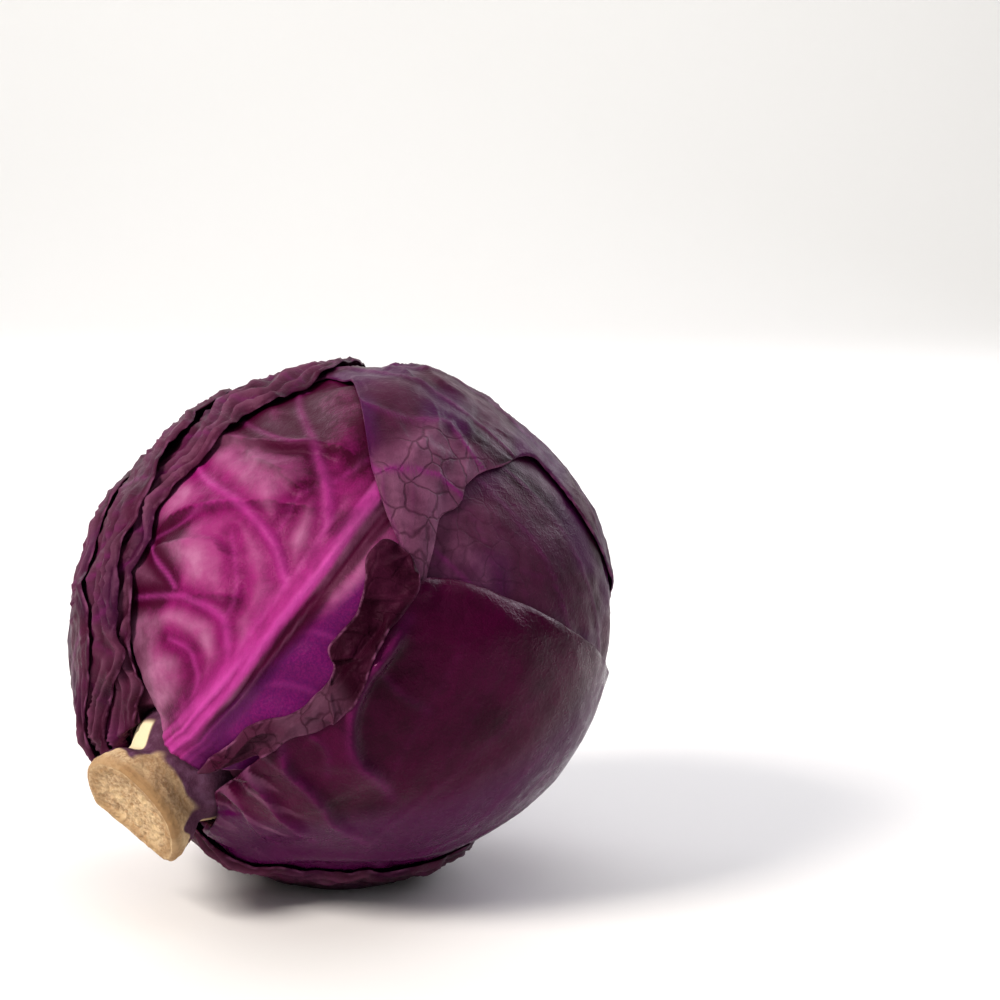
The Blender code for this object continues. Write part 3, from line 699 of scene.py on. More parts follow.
LOWER_VEINS = (
    [Line([(25.5, -157), (36, -92), (68, -93), (98, -91), (119, -89)], (6, 1.2), (2.4, 0.12), 0.12)],
    [Line([(40, -92), (45, -92), (50, -73), (60, -62), (74.5, -54.5), (89.5, -50)],
          (2.2, 1), (0.8, 0.12), 0.15),
     Line([(58, -93), (69, -85.5), (80, -71), (94.5, -66)], (2, 1), (0.7, 0.12), 0.3),
     Line([(76, -93), (86, -80), (98, -74)], (1.8, 1), (0.6, 0.12), 0.3),
     Line([(30, -92), (38, -108), (50, -124), (62, -140)], (2.2, 1), (0.8, 0.12), 0.15),
     Line([(50, -94), (60, -110), (74, -130), (84, -150)], (2.2, 1), (0.8, 0.12), 0.15),
     Line([(72, -94), (84, -108), (96, -124), (102, -138)], (2, 1), (0.7, 0.12), 0.3),
     Line([(32, -135), (27, -104), (33, -84.5), (43, -72)], (1.6, 1), (0.5, 0.2), 0.12)],
    [Line([(51, -56), (57.5, -46.5), (68, -37), (78.5, -30.5)], (1.0, 0.7), (0.4, 0.2), 0.12),
     Line([(60, -62), (66, -52.5), (76.5, -43.5), (85, -39)], (1.0, 0.7), (0.35, 0.2), 0.1)],
)
LOWER_FOLDS = (
    Line([(72, -19.5), (65.5, -22), (59, -24.5), (53.5, -29), (50, -35.5), (49, -42.5),
           (51, -50.5), (52.5, -59)], (2.2, 2.2), (3.4, 2.2), 0.4, -1, 12),
    Line([(36.5, -28.5), (35, -39), (37, -47), (38.5, -56), (40, -67.5), (46, -79.5)],
         (1.8, 1.8), (2.2, 1.5), 0.4, -1, 9),
    Line([(25, -32.5), (27, -45), (29, -58.5), (32, -68.5), (35, -80.5)],
         (1.7, 1.7), (1.9, 1.3), 0.4, -1, 8),
    Line([(14, -46), (19.5, -56), (22.5, -71), (27.5, -88.5)], (1.4, 1.4), (1.4, 1.0), 0.3, 1, 6),
    Line([(15, -40.5), (22.5, -38), (24.5, -48)], (1.0, 1.0), (1.0, 0.6), 0.0, 1, 4),
    Line([(61.5, -21), (62.5, -31), (66, -39.5)], (1.5, 1.5), (0.8, 0.6), 0.2, 1, 7),
    Line([(43, -28), (44.5, -36), (42, -44)], (1.2, 1.2), (0.7, 0.5), 0.2, 1, 5),
)
TORN_FOLDS = (
    Line([(9.5, -35), (15, -30), (23.5, -25.5), (33, -21), (38.5, -25.5)],
         (0.8, 0.8), (1.1, 0.9), 0, 1, 3),
    Line([(18.5, -30.5), (23.5, -24.5), (28.5, -27), (33, -26.5), (37.5, -28.5)],
         (0.7, 0.7), (0.8, 0.7), 0, -1, 3),
    Line([(50.5, -15), (53.5, -15.5), (55.5, -16.5), (58.5, -18.5), (60.5, -21)],
         (0.8, 0.8), (1.5, 1.2), 0, 1, 4),
    Line([(44, -22.5), (47.5, -27), (49.5, -30)], (0.8, 0.8), (0.8, 0.6), 0, 1, 4),
    Line([(62.5, -11.5), (66, -13.5), (68, -17.5)], (0.8, 0.8), (0.8, 0.5), 0, -1, 4),
)

# The leaves, from the innermost outwards.
LEAVES = (
    Leaf("right_back_leaf", [
        ((14, -140), (14, -110), (14, -80)), ((34, -170), (34, -112), (34, -52)),
        ((60, -174), (62, -100), (60, -28)), ((86, -176), (92, -90), (82, 2)),
        ((112, -176), (118, -82), (104, 14)), ((134, -172), (140, -80), (122, 16)),
        ((154, -150), (161, -70), (144, 2))],
        cover=3, seed=11, look="mauve", lift=0.4),
    Leaf("front_leaf", [
        ((13.5, -26), (13.5, -6), (13.5, 24)), ((25, -36), (25, -7), (25, 48)),
        ((36, -39), (36, -6.4), (36, 58)), ((46, -40), (46, -3.8), (46, 62)),
        ((57, -37), (57, -0.8), (57, 64)), ((66, -31), (67, 1.3), (68, 65)),
        ((76, -20), (77, 2.2), (80, 65)), ((84, -9), (87, 4), (92, 64)),
        ((95, -3), (101, 9), (104, 60)), ((108, 2), (114, 15), (116, 54)),
        ((120, 7), (125, 20), (127, 45)), ((127, 12), (130, 21), (132, 33))],
        seed=21, look="magenta", along=190, across=150, veins=FRONT_VEINS, folds=FRONT_FOLDS,
        quilt=2.8, wrinkle=0.25, strands=1.4),
    Leaf("crown_leaf", [
        ((13.8, 68), (13.8, 88), (13.8, 108)), ((35, 62), (35, 99), (35, 136)),
        ((60, 62), (62, 103), (60, 146)), ((85, 57), (92, 103), (88, 150)),
        ((101, 53), (111, 101), (106, 152)), ((111, 46), (124, 96), (123, 156)),
        ((109, 34), (136, 84), (138, 162)), ((94, 15), (140, 74), (146, 175)),
        ((88, 7.5), (141.5, 66), (148, -168)), ((84, 1), (142, 59), (148, -145)),
        ((80, -8.5), (142, 50), (146, -122)), ((77, -17), (141, 42), (144, -100)),
        ((84, -13.5), (141, 32), (141, -84)), ((92, -8), (140, 22), (138, -68)),
        ((98, -8.5), (138.5, 14), (135, -58)), ((103, -6), (136.5, 8), (133.5, -50)),
        ((110, -6.3), (135.5, 2), (132, -43)), ((116, -8), (134, -4), (130.5, -35)),
        ((122, -8), (128, -12), (129, -25))],
        cover=3, seed=31, look="mauve", along=240, across=170, veins=CROWN_VEINS,
        folds=CROWN_FOLDS, lift=0.3, ruffle=0.5),
    Leaf("left_inner_leaf", [
        ((13.5, 75), (13.5, 100), (13.5, 128)), ((20, 58), (21, 108), (24, 155)),
        ((27, 53.5), (30, 112), (35, 172)), ((42, 56.5), (48, 114), (52, 178)),
        ((61, 55.5), (66, 114), (72, 180)), ((75, 50), (84, 112), (92, 178)),
        ((90, 48), (102, 108), (110, 172)), ((104, 45.5), (118, 104), (126, 163)),
        ((120, 48), (132, 100), (138, 150)), ((134, 60), (141, 98), (143, 136)),
        ((141, 68), (147, 98), (146, 124))],
        cover=3, seed=41, lift=0.5, wrinkle=2.6, lifted=((22, 100, 48, 0.6),),
        pleats=(2.8, 5.2, 30), ruffle=3),
    Leaf("left_outer_leaf", [
        ((13.5, 110), (13.5, 140), (13.5, 170)), ((19, 82), (20, 142), (22, -165)),
        ((25, 62), (29, 142), (34, -150)), ((37, 57), (45, 141), (52, -145)),
        ((49, 62), (60, 140), (70, -144)), ((60, 60.5), (76, 139), (88, -147)),
        ((76, 60), (92, 138), (104, -152)), ((92, 64), (108, 138), (118, -162)),
        ((108, 73), (122, 138), (129, -178)), ((124, 95), (132, 139), (135, 170)),
        ((131, 104), (138, 139), (139, 166))],
        cover=2, seed=51, lift=0.5, wrinkle=2.6, lifted=((22, 95, 60, 0.8),),
        pleats=(3.0, 6, 34), ruffle=3),
    Leaf("lower_leaf", [
        ((13.5, -122), (13.5, -88), (13.5, -54)), ((22, -150), (23, -90), (24, -35)),
        ((34, -162), (36, -94), (36, -27)), ((48, -166), (52, -95), (50, -24)),
        ((64, -166), (68, -94), (62, -19.5)), ((78, -163), (84, -92), (73, -15.5)),
        ((92, -155), (98, -91), (82, -16)), ((104, -144), (108, -90), (92, -28)),
        ((113, -130), (117, -90), (104, -45)), ((120, -112), (122, -88), (114, -62))],
        seed=61, look="wine", veins=LOWER_VEINS, folds=LOWER_FOLDS, lift=0.4, wrinkle=0.4, quilt=0.5,
        across=150, along=170),
    Leaf("back_leaf", [
        ((13.5, 150), (13.5, 178), (13.5, -155)), ((19, 105), (20, 176), (22, -120)),
        ((26, 80), (29, 172), (31, -107)), ((36, 74), (42, 168), (44, -103)),
        ((46, 79), (56, 167), (58, -102)), ((57, 77), (70, 168), (72, -105)),
        ((72, 80), (84, 170), (86, -114)), ((88, 91), (97, 172), (99, -130)),
        ((102, 110), (108, 174), (109, -148)), ((110, 130), (115, 175), (114, -160)),
        ((115, 142), (121, 174), (119, -168))],
        cover=0, seed=71, lift=0.25, wrinkle=1.8, pleats=(2.2, 5.5, 24), ruffle=2.6),
    Leaf("torn_leaf", [
        ((13.5, -31), (13.5, -24)), ((20, -29.5), (20, -19)), ((27, -28.5), (27, -18.5)),
        ((33, -28.3), (32, -17.6)), ((40, -28.5), (38, -20)), ((46, -30), (44, -22)),
        ((52, -29), (50, -21)), ((57, -26), (54.5, -18.5)), ((61, -22), (56.5, -14)),
        ((65, -20), (62, -12.6)), ((68, -18.5), (67, -10)), ((72, -18), (71, -6.5)),
        ((75, -17), (75, -4.5)), ((78, -15), (79, -4.5)), ((80, -11), (80.5, -7))],
        cover=0, seed=81, look="withered", across=50, along=240, rib=0.0, folds=TORN_FOLDS,
        veins=([Line([(14, -27), (40, -24), (58, -19), (79, -8)], (1, 1), (0.1, 0.1), 0)], [], []),
        lift=0.3, wrinkle=4.5, quilt=0.3, ruffle=1.8),
)


def stalk_radius(along, azimuth):
    """The stalk's radius in millimetres.

    It is round in the neck and sliced flat on one side further out, and has steps where the
    lowest leaves were cut off.
    """
    radius = np.interp(along, *zip(*STALK_PROFILE))
    out = smooth_step(STALK_RELIEF_FROM, STALK_RELIEF_FROM + 8, along)
    for place, turn, wide, depth in STALK_SCARS:
        bite = out * depth * np.exp(-((turned_by(azimuth, turn) / wide) ** 2))
        radius = radius - bite * smooth_step(place + 3, place - 3, along)
    turn = np.radians(azimuth - STALK_FLAT_AT)
    sliced = np.minimum(radius, STALK_FLAT_OFFSET / np.maximum(np.cos(turn), 0.05))
    share = smooth_step(STALK_FLAT_FROM, STALK_FLAT_FROM + 8, along) * (np.cos(turn) > 0.2)
    return radius + (sliced - radius) * share


def round_points(azimuth):
    """Directions square to the stalk's axis."""
    return direction(90.0, azimuth)


def stalk_surface():
    """Rings of points from the core's tip in the heart to the rim of the cut face."""
    azimuth = np.linspace(-180, 180, ROUND_POINTS)[None, :]
    ends = [p[0] for p in STALK_PROFILE]
    along = np.concatenate([np.linspace(ends[0], 72, 60), np.linspace(72.4, ends[-1], 70)])[:, None]
    radius = stalk_radius(along, azimuth)
    out = round_points(azimuth)
    place = (STALK * along[..., None] + out * radius[..., None]) * MM
    rough = smooth_step(76, 88, along) * np.ones_like(azimuth)
    grain = 0.35 * noise(place, 2.2 * MM, 3) + 0.2 * noise(place, 0.9 * MM, 4)
    grain = grain + 0.5 * noise(place, 7 * MM, 5)
    return place + out * (grain * rough * 0.8 * MM)[..., None]


def cut_face(rim):
    """Rings of points from the stalk's rim to the middle of its cut face, dished and rough."""
    middle = rim[:-1].mean(axis=0)
    shares = np.linspace(1, 0.02, CUT_RINGS)[:, None, None]
    face = middle + (rim[None] - middle) * shares
    shares = shares[..., 0]
    grain = 0.5 * noise(face, 1.6 * MM, 6) + 0.35 * noise(face, 0.7 * MM, 7)
    ring = np.exp(-(((shares - 0.84) / 0.07) ** 2)) * 0.5
    dish = -1.1 * smooth_step(1, 0.75, shares) + 0.9 * noise(face, 9 * MM, 8) * (1 - shares)
    rise = (dish + (grain + ring) * smooth_step(1, 0.93, shares)) * MM
    return face + STALK * rise[..., None]


def heart_surface():
    """Rings of points from the crown to the mouth, and on down the pocket of the core."""
    polar = np.linspace(179.5, 17.5, 120)[:, None]
    azimuth = np.linspace(-180, 180, ROUND_POINTS)[None, :]
    polar, azimuth = polar * np.ones_like(azimuth), azimuth * np.ones_like(polar)
    outs = direction(polar, azimuth)
    turn = azimuth / 360 * HEART_LEAVES + HEART_TWIST * np.sin(np.radians(polar))
    share = turn % 1
    rise = smooth_step(0, 0.85, share) - smooth_step(0.85, 1, share)
    fade = np.sin(np.radians(polar)) * (1 - flatness(outs))
    rings = outs * (heart_radius(outs) - HEART_STEP * (1 - rise) * fade)[..., None]
    along = np.linspace(CORE_MOUTH, STALK_PROFILE[0][0] - 2, 40)[:, None]
    radius = np.interp(along, *zip(*STALK_PROFILE)) * MM + CORE_CLEARANCE
    pocket = (STALK * along[..., None]) * MM + round_points(azimuth[:1]) * radius[..., None]
    return np.concatenate([rings, pocket])


def linear(hex_colour):
    """An sRGB hex colour in linear light."""
    parts = [int(hex_colour[k:k + 2], 16) / 255 for k in (1, 3, 5)]
    return [c / 12.92 if c <= 0.04045 else ((c + 0.055) / 1.055) ** 2.4 for c in parts]


def colour_property(name, text, hex_colour):
    """A colour in the panel."""
    return FloatVectorProperty(
        name=name, description=text, subtype="COLOR", size=3, min=0, max=1, default=linear(hex_colour))


def length_property(name, text, millimetres):
    """A length in the panel."""
    return FloatProperty(
        name=name, description=text, unit="LENGTH", precision=5, min=0, default=millimetres * MM)


class CabbageSizes(bpy.types.PropertyGroup):
    """Sizes of the leaves."""

    blade: length_property("Blade", "Thickness of a leaf away from its ribs", 0.95)
    margin: length_property("Margin", "Thickness of a leaf at its margin", 0.65)
    gap: length_property("Gap", "Air between one leaf and the next", 0.35)
    quilt: length_property("Quilting", "Swelling of the blade between its veins", 1.1)
    wrinkle: length_property("Wrinkles", "Height of the blade's fine wrinkles", 0.8)
    fold: FloatProperty(name="Folds", description="How strong the folds are", min=0, default=1.5)
    floor: length_property("Floor", "Half the width of the stage's floor", 3000)


class CabbageColours(bpy.types.PropertyGroup):
    """Colours of the leaves and the stalk."""

    magenta: colour_property("Magenta", "Front leaf's blade", "#86165F")
    rib: colour_property("Rib", "Front leaf's midrib and veins", "#B23C90")
    # Maroon is laid where the front leaf is darkest: partly its own pigment, partly painted shade.
    maroon: colour_property("Maroon", "Front leaf's darkest places", "#3A0420")
    dusky: colour_property("Dusky", "Blade of the dark leaves at the left and back", "#4A1832")
    mauve: colour_property("Mauve", "Blade of the crown leaf and the one under it", "#481A34")
    wine: colour_property("Wine", "Blade of the dark lower leaf", "#42062A")
    withered: colour_property("Withered", "Blade of the torn leaf", "#43142C")
    # Shade is laid where the leaves are darkest: partly their own pigment, partly painted shade.
    shade: colour_property("Shade", "Pigment in the darkest places", "#1E020E")
    violet: colour_property("Violet", "Pigment in patches of the blades", "#4A0C4A")
    vein: colour_property("Vein", "Veins of the dark leaves", "#7A1E66")
    # Edge is a painted highlight along the leaves' margins, broken into patches.
    edge: colour_property("Edge", "Worn margins of the leaves", "#8A4E72")
    # The bloom colours are wax bloom, and also painted sheen on swellings, pleat crests and glints.
    pink_bloom: colour_property("Pink bloom", "Wax bloom on the reddest leaves", "#AE7094")
    bloom: colour_property("Bloom", "Wax bloom on the dusky leaves", "#7E5068")
    gleam: colour_property("Gleam", "Tint of the light that the skin mirrors", "#E89CC4")
    ashen: colour_property("Ashen", "Dry patches of the torn leaf", "#5C3A4C")
    cut: colour_property("Cut", "Stalk's dried cut face", "#CDB08C")
    pith: colour_property("Pith", "Palest patches of the cut face", "#E2C79A")
    rim: colour_property("Rim", "Stalk's corky rim", "#9C7850")
    bark: colour_property("Bark", "Skin left on the stalk", "#4A1E3A")
    dusty_bark: colour_property("Dusty bark", "Skin of the stalk where it is dusty", "#6E4462")
    scar: colour_property("Scar", "Fresh leaf scar on the stalk", "#F0DFB8")
    ground: colour_property("Floor", "Stage's floor", "#F4F3F1")
    # Painted shade in the hollows between the lumps of the floor's paint.
    hollow_shade: colour_property("Floor hollows", "Between the lumps of the floor's paint", "#E7E7E7")


def add_node(tree, kind, inputs=None, out=0, **settings):
    """Adds a node with these settings. Inputs are values or sockets to link; gives one output."""
    node = tree.nodes.new(kind)
    for name, value in settings.items():
        setattr(node, name, value)
    for name, value in (inputs or {}).items():
        socket = node.inputs[name]
        if isinstance(value, bpy.types.NodeSocket):
            tree.links.new(value, socket)
        else:
            socket.default_value = value
    return node.outputs[out]


def patterns(tree, lumps, nets=(), shares=()):
    """A material's patterns, from tables.

    Lumps have a size in millimetres, detail and roughness, and nets the size of their meshes.
    Each share takes a pattern, where it starts and ends on it, and its values there.
    """
    place = add_node(tree, "ShaderNodeTexCoord", out="Object")
    found = {}
    for name, size, detail, roughness in lumps:
        found[name] = add_node(tree, "ShaderNodeTexNoise", {
            "Vector": place, "Scale": 1 / (size * MM), "Detail": detail, "Roughness": roughness})
    for name, size in nets:
        scale = 1 / (size * MM)
        warp = add_node(tree, "ShaderNodeTexNoise", {"Vector": place, "Scale": scale / 1.2}, "Color")
        shift = add_node(
            tree, "ShaderNodeVectorMath", {0: warp, 1: (0.8 * size * MM,) * 3}, operation="MULTIPLY")
        warped = add_node(tree, "ShaderNodeVectorMath", {0: place, 1: shift}, operation="ADD")
        found[name] = add_node(
            tree, "ShaderNodeTexVoronoi", {"Vector": warped, "Scale": scale},
            feature="DISTANCE_TO_EDGE")
    for name, source, start, end, first, last in shares:
        found[name] = add_node(
            tree, "ShaderNodeMapRange", {
                "Value": found[source], "From Min": start, "From Max": end,
                "To Min": first, "To Max": last,
            }, interpolation_type="SMOOTHSTEP")
    return found


def layered(tree, colour, layers):
    """A colour under layers of other colours, each with its share."""
    for share, layer in layers:
        colour = add_node(
            tree, "ShaderNodeMix", {0: share, 6: colour, 7: layer}, out=2, data_type="RGBA")
    return colour


def dress(name, tree_of, **uniform):
    """A material whose colour, roughness and height vary as told, with uniform values besides."""
    material = bpy.data.materials.new(name)
    material.use_nodes = True
    tree = material.node_tree
    shader = tree.nodes["Principled BSDF"]
    colour, roughness, height, depth = tree_of(tree)
    bump = add_node(tree, "ShaderNodeBump", {"Height": height, "Distance": depth * MM})
    for socket, value in (("Base Color", colour), ("Roughness", roughness), ("Normal", bump)):
        tree.links.new(value, shader.inputs[socket])
    for socket, value in uniform.items():
        shader.inputs[socket.replace("_", " ")].default_value = value
    return material


# Each leaf's look: blade colour, colour in its darkest places, vein colour, the colour of its bloom
# and painted sheen, roughness and how much the skin mirrors.
LOOKS = {
    "magenta": ("magenta", "maroon", "rib", "pink_bloom", 0.42, 0.1),
    "dusky": ("dusky", "shade", "vein", "bloom", 0.4, 0.1),
    "mauve": ("mauve", "shade", "vein", "pink_bloom", 0.4, 0.1),
    "wine": ("wine", "shade", "vein", "pink_bloom", 0.27, 0.12),
    "withered": ("withered", "shade", "withered", "ashen", 0.5, 0.06),
}
# Pigment lies in clouds and blotches, and wax in patches. Single cells and the skin's grain are
# too fine for the picture, so the speckle of the cells is drawn 0.7 mm wide, and the tooth of
# the grain 1.4 mm.
LEAF_LUMPS = (
    ("clouds", 18, 4, 0.55), ("blotches", 5, 5, 0.55), ("speckle", 0.7, 2, 0.55),
    ("wax", 7, 5, 0.55), ("tooth", 1.4, 4, 0.55),
)
LEAF_NETS = (("veinlets", 8), ("fine_veinlets", 2.2))
LEAF_SHARES = (
    ("cloudy", "clouds", 0.35, 0.75, -0.15, 0.2),
    ("blotched", "blotches", 0.35, 0.7, -0.12, 0.15),
    ("speckled", "speckle", 0.3, 0.7, -0.07, 0.07),
    ("speckled_violet", "speckle", 0.3, 0.7, 0.7, 1.0),
    ("waxed", "wax", 0.3, 0.7, 0.35, 0.9),
    ("veined", "blotches", 0.3, 0.7, 0.95, 0.65),
    # Patches of the painted rim highlight.
    ("patchy_rim_highlight", "blotches", 0.45, 0.65, 0.05, 0.6),
    ("uneven", "blotches", 0.3, 0.7, -0.08, 0.1),
    ("net", "veinlets", 0.0, 0.07, 1, 0),
    ("fine_net", "fine_veinlets", 0.0, 0.12, 1, 0),
)
# Marks of the mesh, each with the pattern that breaks it up.
LEAF_MARKS = (
    ("violet", "speckled_violet"), ("bloom", "waxed"), ("matte", "net"), ("vein", "veined"),
    ("rim", "patchy_rim_highlight"),
)


def waxy_leaf(name, look, colours):
    """Living leaf skin under a wax bloom: satin, cloudy with pigment, finely netted with veins, with
    painted shade, painted sheen and a painted rim highlight from the mesh's marks.

    What it mirrors is weak and tinted, so that dark skin keeps its colour.
    """
    *keys, roughness, mirror = LOOKS[look]
    blade, shade, vein, bloom = ((*getattr(colours, key), 1) for key in keys)

    def skin(tree):
        found = patterns(tree, LEAF_LUMPS, LEAF_NETS, LEAF_SHARES)
        marks = {
            mark: add_node(tree, "ShaderNodeAttribute", out="Fac", attribute_name=mark)
            for mark in ("tone", *dict(LEAF_MARKS))
        }
        covers = {
            mark: add_node(
                tree, "ShaderNodeMath", {0: marks[mark], 1: found[pattern]}, operation="MULTIPLY")
            for mark, pattern in LEAF_MARKS
        }
        # The tone mark darkens towards the shade colour: the leaf's own pigment and painted shade
        # together.
        tone = marks["tone"]
        for part in ("cloudy", "blotched", "speckled"):
            tone = add_node(tree, "ShaderNodeMath", {0: tone, 1: found[part]}, operation="ADD")
        lines = add_node(tree, "ShaderNodeMath", {0: covers["matte"], 1: 0.55}, operation="MULTIPLY")
        colour = layered(tree, blade, (
            (tone, shade), (covers["violet"], (*colours.violet, 1)), (covers["bloom"], bloom),
            (lines, shade), (covers["vein"], vein), (covers["rim"], (*colours.edge, 1)),
        ))
        rough, height = roughness, 0.0
        for part, weight in ((found["uneven"], 1), (marks["bloom"], 0.12)):
            rough = add_node(
                tree, "ShaderNodeMath", {0: part, 1: weight, 2: rough}, operation="MULTIPLY_ADD")
        heights = ((found["tooth"], 0.5), (covers["matte"], -0.5), (found["fine_net"], 0.1))
        for part, weight in heights:
            height = add_node(
                tree, "ShaderNodeMath", {0: part, 1: weight, 2: height}, operation="MULTIPLY_ADD")
        return colour, rough, height, 0.3

    return dress(name, skin, Specular_IOR_Level=mirror, Specular_Tint=(*colours.gleam, 1))


# Dried pith has grains of about a millimetre, and stains of several.
STALK_LUMPS = (("grains", 1.1, 6, 0.7), ("stains", 6, 4, 0.55), ("dust", 5, 3, 0.55))
STALK_SHARES = (
    ("grainy", "grains", 0.35, 0.65, 0, 1),
    ("stained", "stains", 0.4, 0.7, 0, 0.55),
    ("dusty", "dust", 0.45, 0.8, 0, 1),
    ("rough", "grains", 0.3, 0.7, 0.7, 0.9),
)


def dried_stalk(name, colours):
    """Cut stalk that has dried: granular and chalky on its face, corky at its rim, with skin."""
    cut, pith, rim, scar, bark, dusty = (
        (*getattr(colours, key), 1) for key in ("cut", "pith", "rim", "scar", "bark", "dusty_bark"))

    def crust(tree):
        found = patterns(tree, STALK_LUMPS, (), STALK_SHARES)
        corky, bared, skinned = (
            add_node(tree, "ShaderNodeAttribute", out="Fac", attribute_name=mark)
            for mark in ("corky", "scar", "skin"))
        corky = add_node(tree, "ShaderNodeMath", {0: corky, 1: 0.7}, operation="MULTIPLY")
        skin = layered(tree, bark, ((found["dusty"], dusty),))
        colour = layered(tree, rim, (
            (found["grainy"], cut), (found["stained"], pith), (corky, rim), (bared, scar),
            (skinned, skin),
        ))
        return colour, found["rough"], found["grains"], 0.5

    return dress(name, crust, Specular_IOR_Level=0.35)


# A roller's tooth, finer than the picture shows, and so drawn 3 mm wide.
FLOOR_LUMPS = (("tooth", 3, 2, 0.55),)
FLOOR_SHARES = (("faint", "tooth", 0.3, 0.7, 0, 0.02), ("rough", "tooth", 0.3, 0.7, 0.75, 0.8))


def painted_floor(name, colours):
    """Matte painted board, too even to show more than a faint tooth."""

    def board(tree):
        found = patterns(tree, FLOOR_LUMPS, (), FLOOR_SHARES)
        # The hollows of the tooth get a faint painted shade.
        colour = layered(tree, (*colours.ground, 1), ((found["faint"], (*colours.hollow_shade, 1)),))
        return colour, found["rough"], found["tooth"], 0.02

    return dress(name, board)


def grid_quads(rows, columns, start=0, flip=False):
    """Faces of a grid of points, numbered row by row from start."""
    index = start + np.arange(rows * columns).reshape(rows, columns)
    corners = [index[:-1, :-1], index[:-1, 1:], index[1:, 1:], index[1:, :-1]]
    quads = np.stack(corners[::-1] if flip else corners, -1)
    return quads.reshape(-1, 4)


def ringed(rings, marks):
    """A closed body from rings whose ends meet, with a point in the middle of each end ring."""
    rings = rings[:, :-1]
    rows, columns = rings.shape[:2]
    count = rows * columns
    points = np.vstack([rings.reshape(-1, 3), rings[0].mean(axis=0), rings[-1].mean(axis=0)])
    index = np.arange(count).reshape(rows, columns)
    after = np.roll(index, -1, axis=1)
    quads = np.stack([index[:-1], after[:-1], after[1:], index[1:]], -1).reshape(-1, 4)
    first, second, _, last = (points[quads[:, k]] for k in range(4))
    run_out = np.cross(second - first, last - first)
    way = -1 if (run_out * (first - points.mean(axis=0))).sum() < 0 else 1
    faces = quads[:, ::way].tolist()
    faces += [(count, b, a)[::way] for a, b in zip(index[0].tolist(), after[0].tolist())]
    faces += [(count + 1, a, b)[::way] for a, b in zip(index[-1].tolist(), after[-1].tolist())]
    marks = {
        name: np.concatenate([values[:, :-1].ravel(), [values[0, 0], values[-1, 0]]])
        for name, values in marks.items()
    }
    return points, faces, marks


def add_piece(name, points, faces, marks, material):
    """Adds a mesh in place, riding on the head and standing for its solid."""
    mesh = bpy.data.meshes.new(name)
    mesh.from_pydata((points + CENTRE).tolist(), [], faces)
    for mark, values in marks.items():
        layer = mesh.attributes.new(mark, "FLOAT", "POINT")
        layer.data.foreach_set("value", np.ascontiguousarray(values, dtype=np.float32))
    mesh.shade_smooth()
    mesh.materials.append(material)
    piece = bpy.data.objects.new(name, mesh)
    bpy.context.scene.collection.objects.link(piece)
    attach(piece, "root")
    return piece


def shell(inner, outer):
    """Points and faces of the closed blade between two like grids."""
    rows, columns = inner.shape[:2]
    count = rows * columns
    points = np.vstack([inner.reshape(-1, 3), outer.reshape(-1, 3)])
    run_out = np.cross(outer[1:, :-1] - outer[:-1, :-1], outer[:-1, 1:] - outer[:-1, :-1])
    flip = (run_out * outer[:-1, :-1]).sum() > 0
    index = np.arange(count).reshape(rows, columns)
    border = np.concatenate([index[0, :-1], index[:-1, -1], index[-1, :0:-1], index[:0:-1, 0]])
    after = np.roll(border, -1)
    rim = np.stack([border, after, after + count, border + count], -1)
    faces = [
        grid_quads(rows, columns, 0, not flip), grid_quads(rows, columns, count, flip),
        rim[:, ::-1] if flip else rim,
    ]
    return points, np.vstack(faces).tolist()


def magenta_pigment_and_light(leaf, polar, azimuth, grid, marks, patchy):
    """Bright beside the midrib, dark towards the crown and at the left; painted shade in its hollows,
    bloom and painted sheen on its swellings.
    """
    top = smooth_step(70, 94, polar + 8 * patchy)
    left = smooth_step(36, 46, azimuth + 5 * patchy) * smooth_step(66, 56, polar)
    tone = top + 0.75 * left + 0.45 * smooth_step(50, 62, azimuth)
    # Painted shade in the valleys beside the veins.
    painted_valley_shade = np.exp(-((marks["far"] / (5 * MM)) ** 2))
    violet = smooth_step(-4, -9, azimuth) * smooth_step(88, 78, polar)
    beside = beside_midrib(leaf, polar, azimuth)
    # Painted shadow: a dark strip beside the midrib on its right, where the raised rib shades the
    # blade.
    painted_rib_shadow = smooth_step(-1.8 * MM, -3.8 * MM, beside) * smooth_step(-11 * MM, -7 * MM, beside)
    painted_rib_shadow = painted_rib_shadow * smooth_step(96, 84, polar) * smooth_step(16, 30, polar)
    tone = tone + 0.45 * painted_valley_shade * (1 - np.clip(marks["vein"], 0, 1)) + 1.1 * painted_rib_shadow
    # Painted shade: darker towards the stalk, where the blade turns in to the neck.
    low = smooth_step(40, 15, polar) * (1 - 0.5 * marks["vein"])
    tone = tone + 0.4 * marks["painted_foot_shade"] + 0.9 * low - 0.1 * marks["strands"]
    # Wax bloom on the swellings, laid on their crests so that it also serves as a painted sheen.
    swollen_bloom_and_sheen = 0.85 * smooth_step(2.5 * MM, 9 * MM, marks["far"]) * smooth_step(-0.9, 0.35, patchy)
    bloom = np.clip(swollen_bloom_and_sheen * (1 - top) * (1 - violet) * (1 - 0.5 * left) * (1 - painted_rib_shadow), 0, 1)
    bloom = np.clip(bloom + 0.4 * np.clip(marks["strands"], 0, 1) * smooth_step(20, 34, polar), 0, 1)
    vein = np.clip(0.85 * marks["vein"] + 0.35 * marks["strands"], 0, 1) * (1 - 0.9 * painted_rib_shadow)
    vein = vein ** 1.3 * (1 - 0.5 * top)
    return {"tone": tone, "violet": violet * 0.9, "bloom": bloom, "vein": vein}


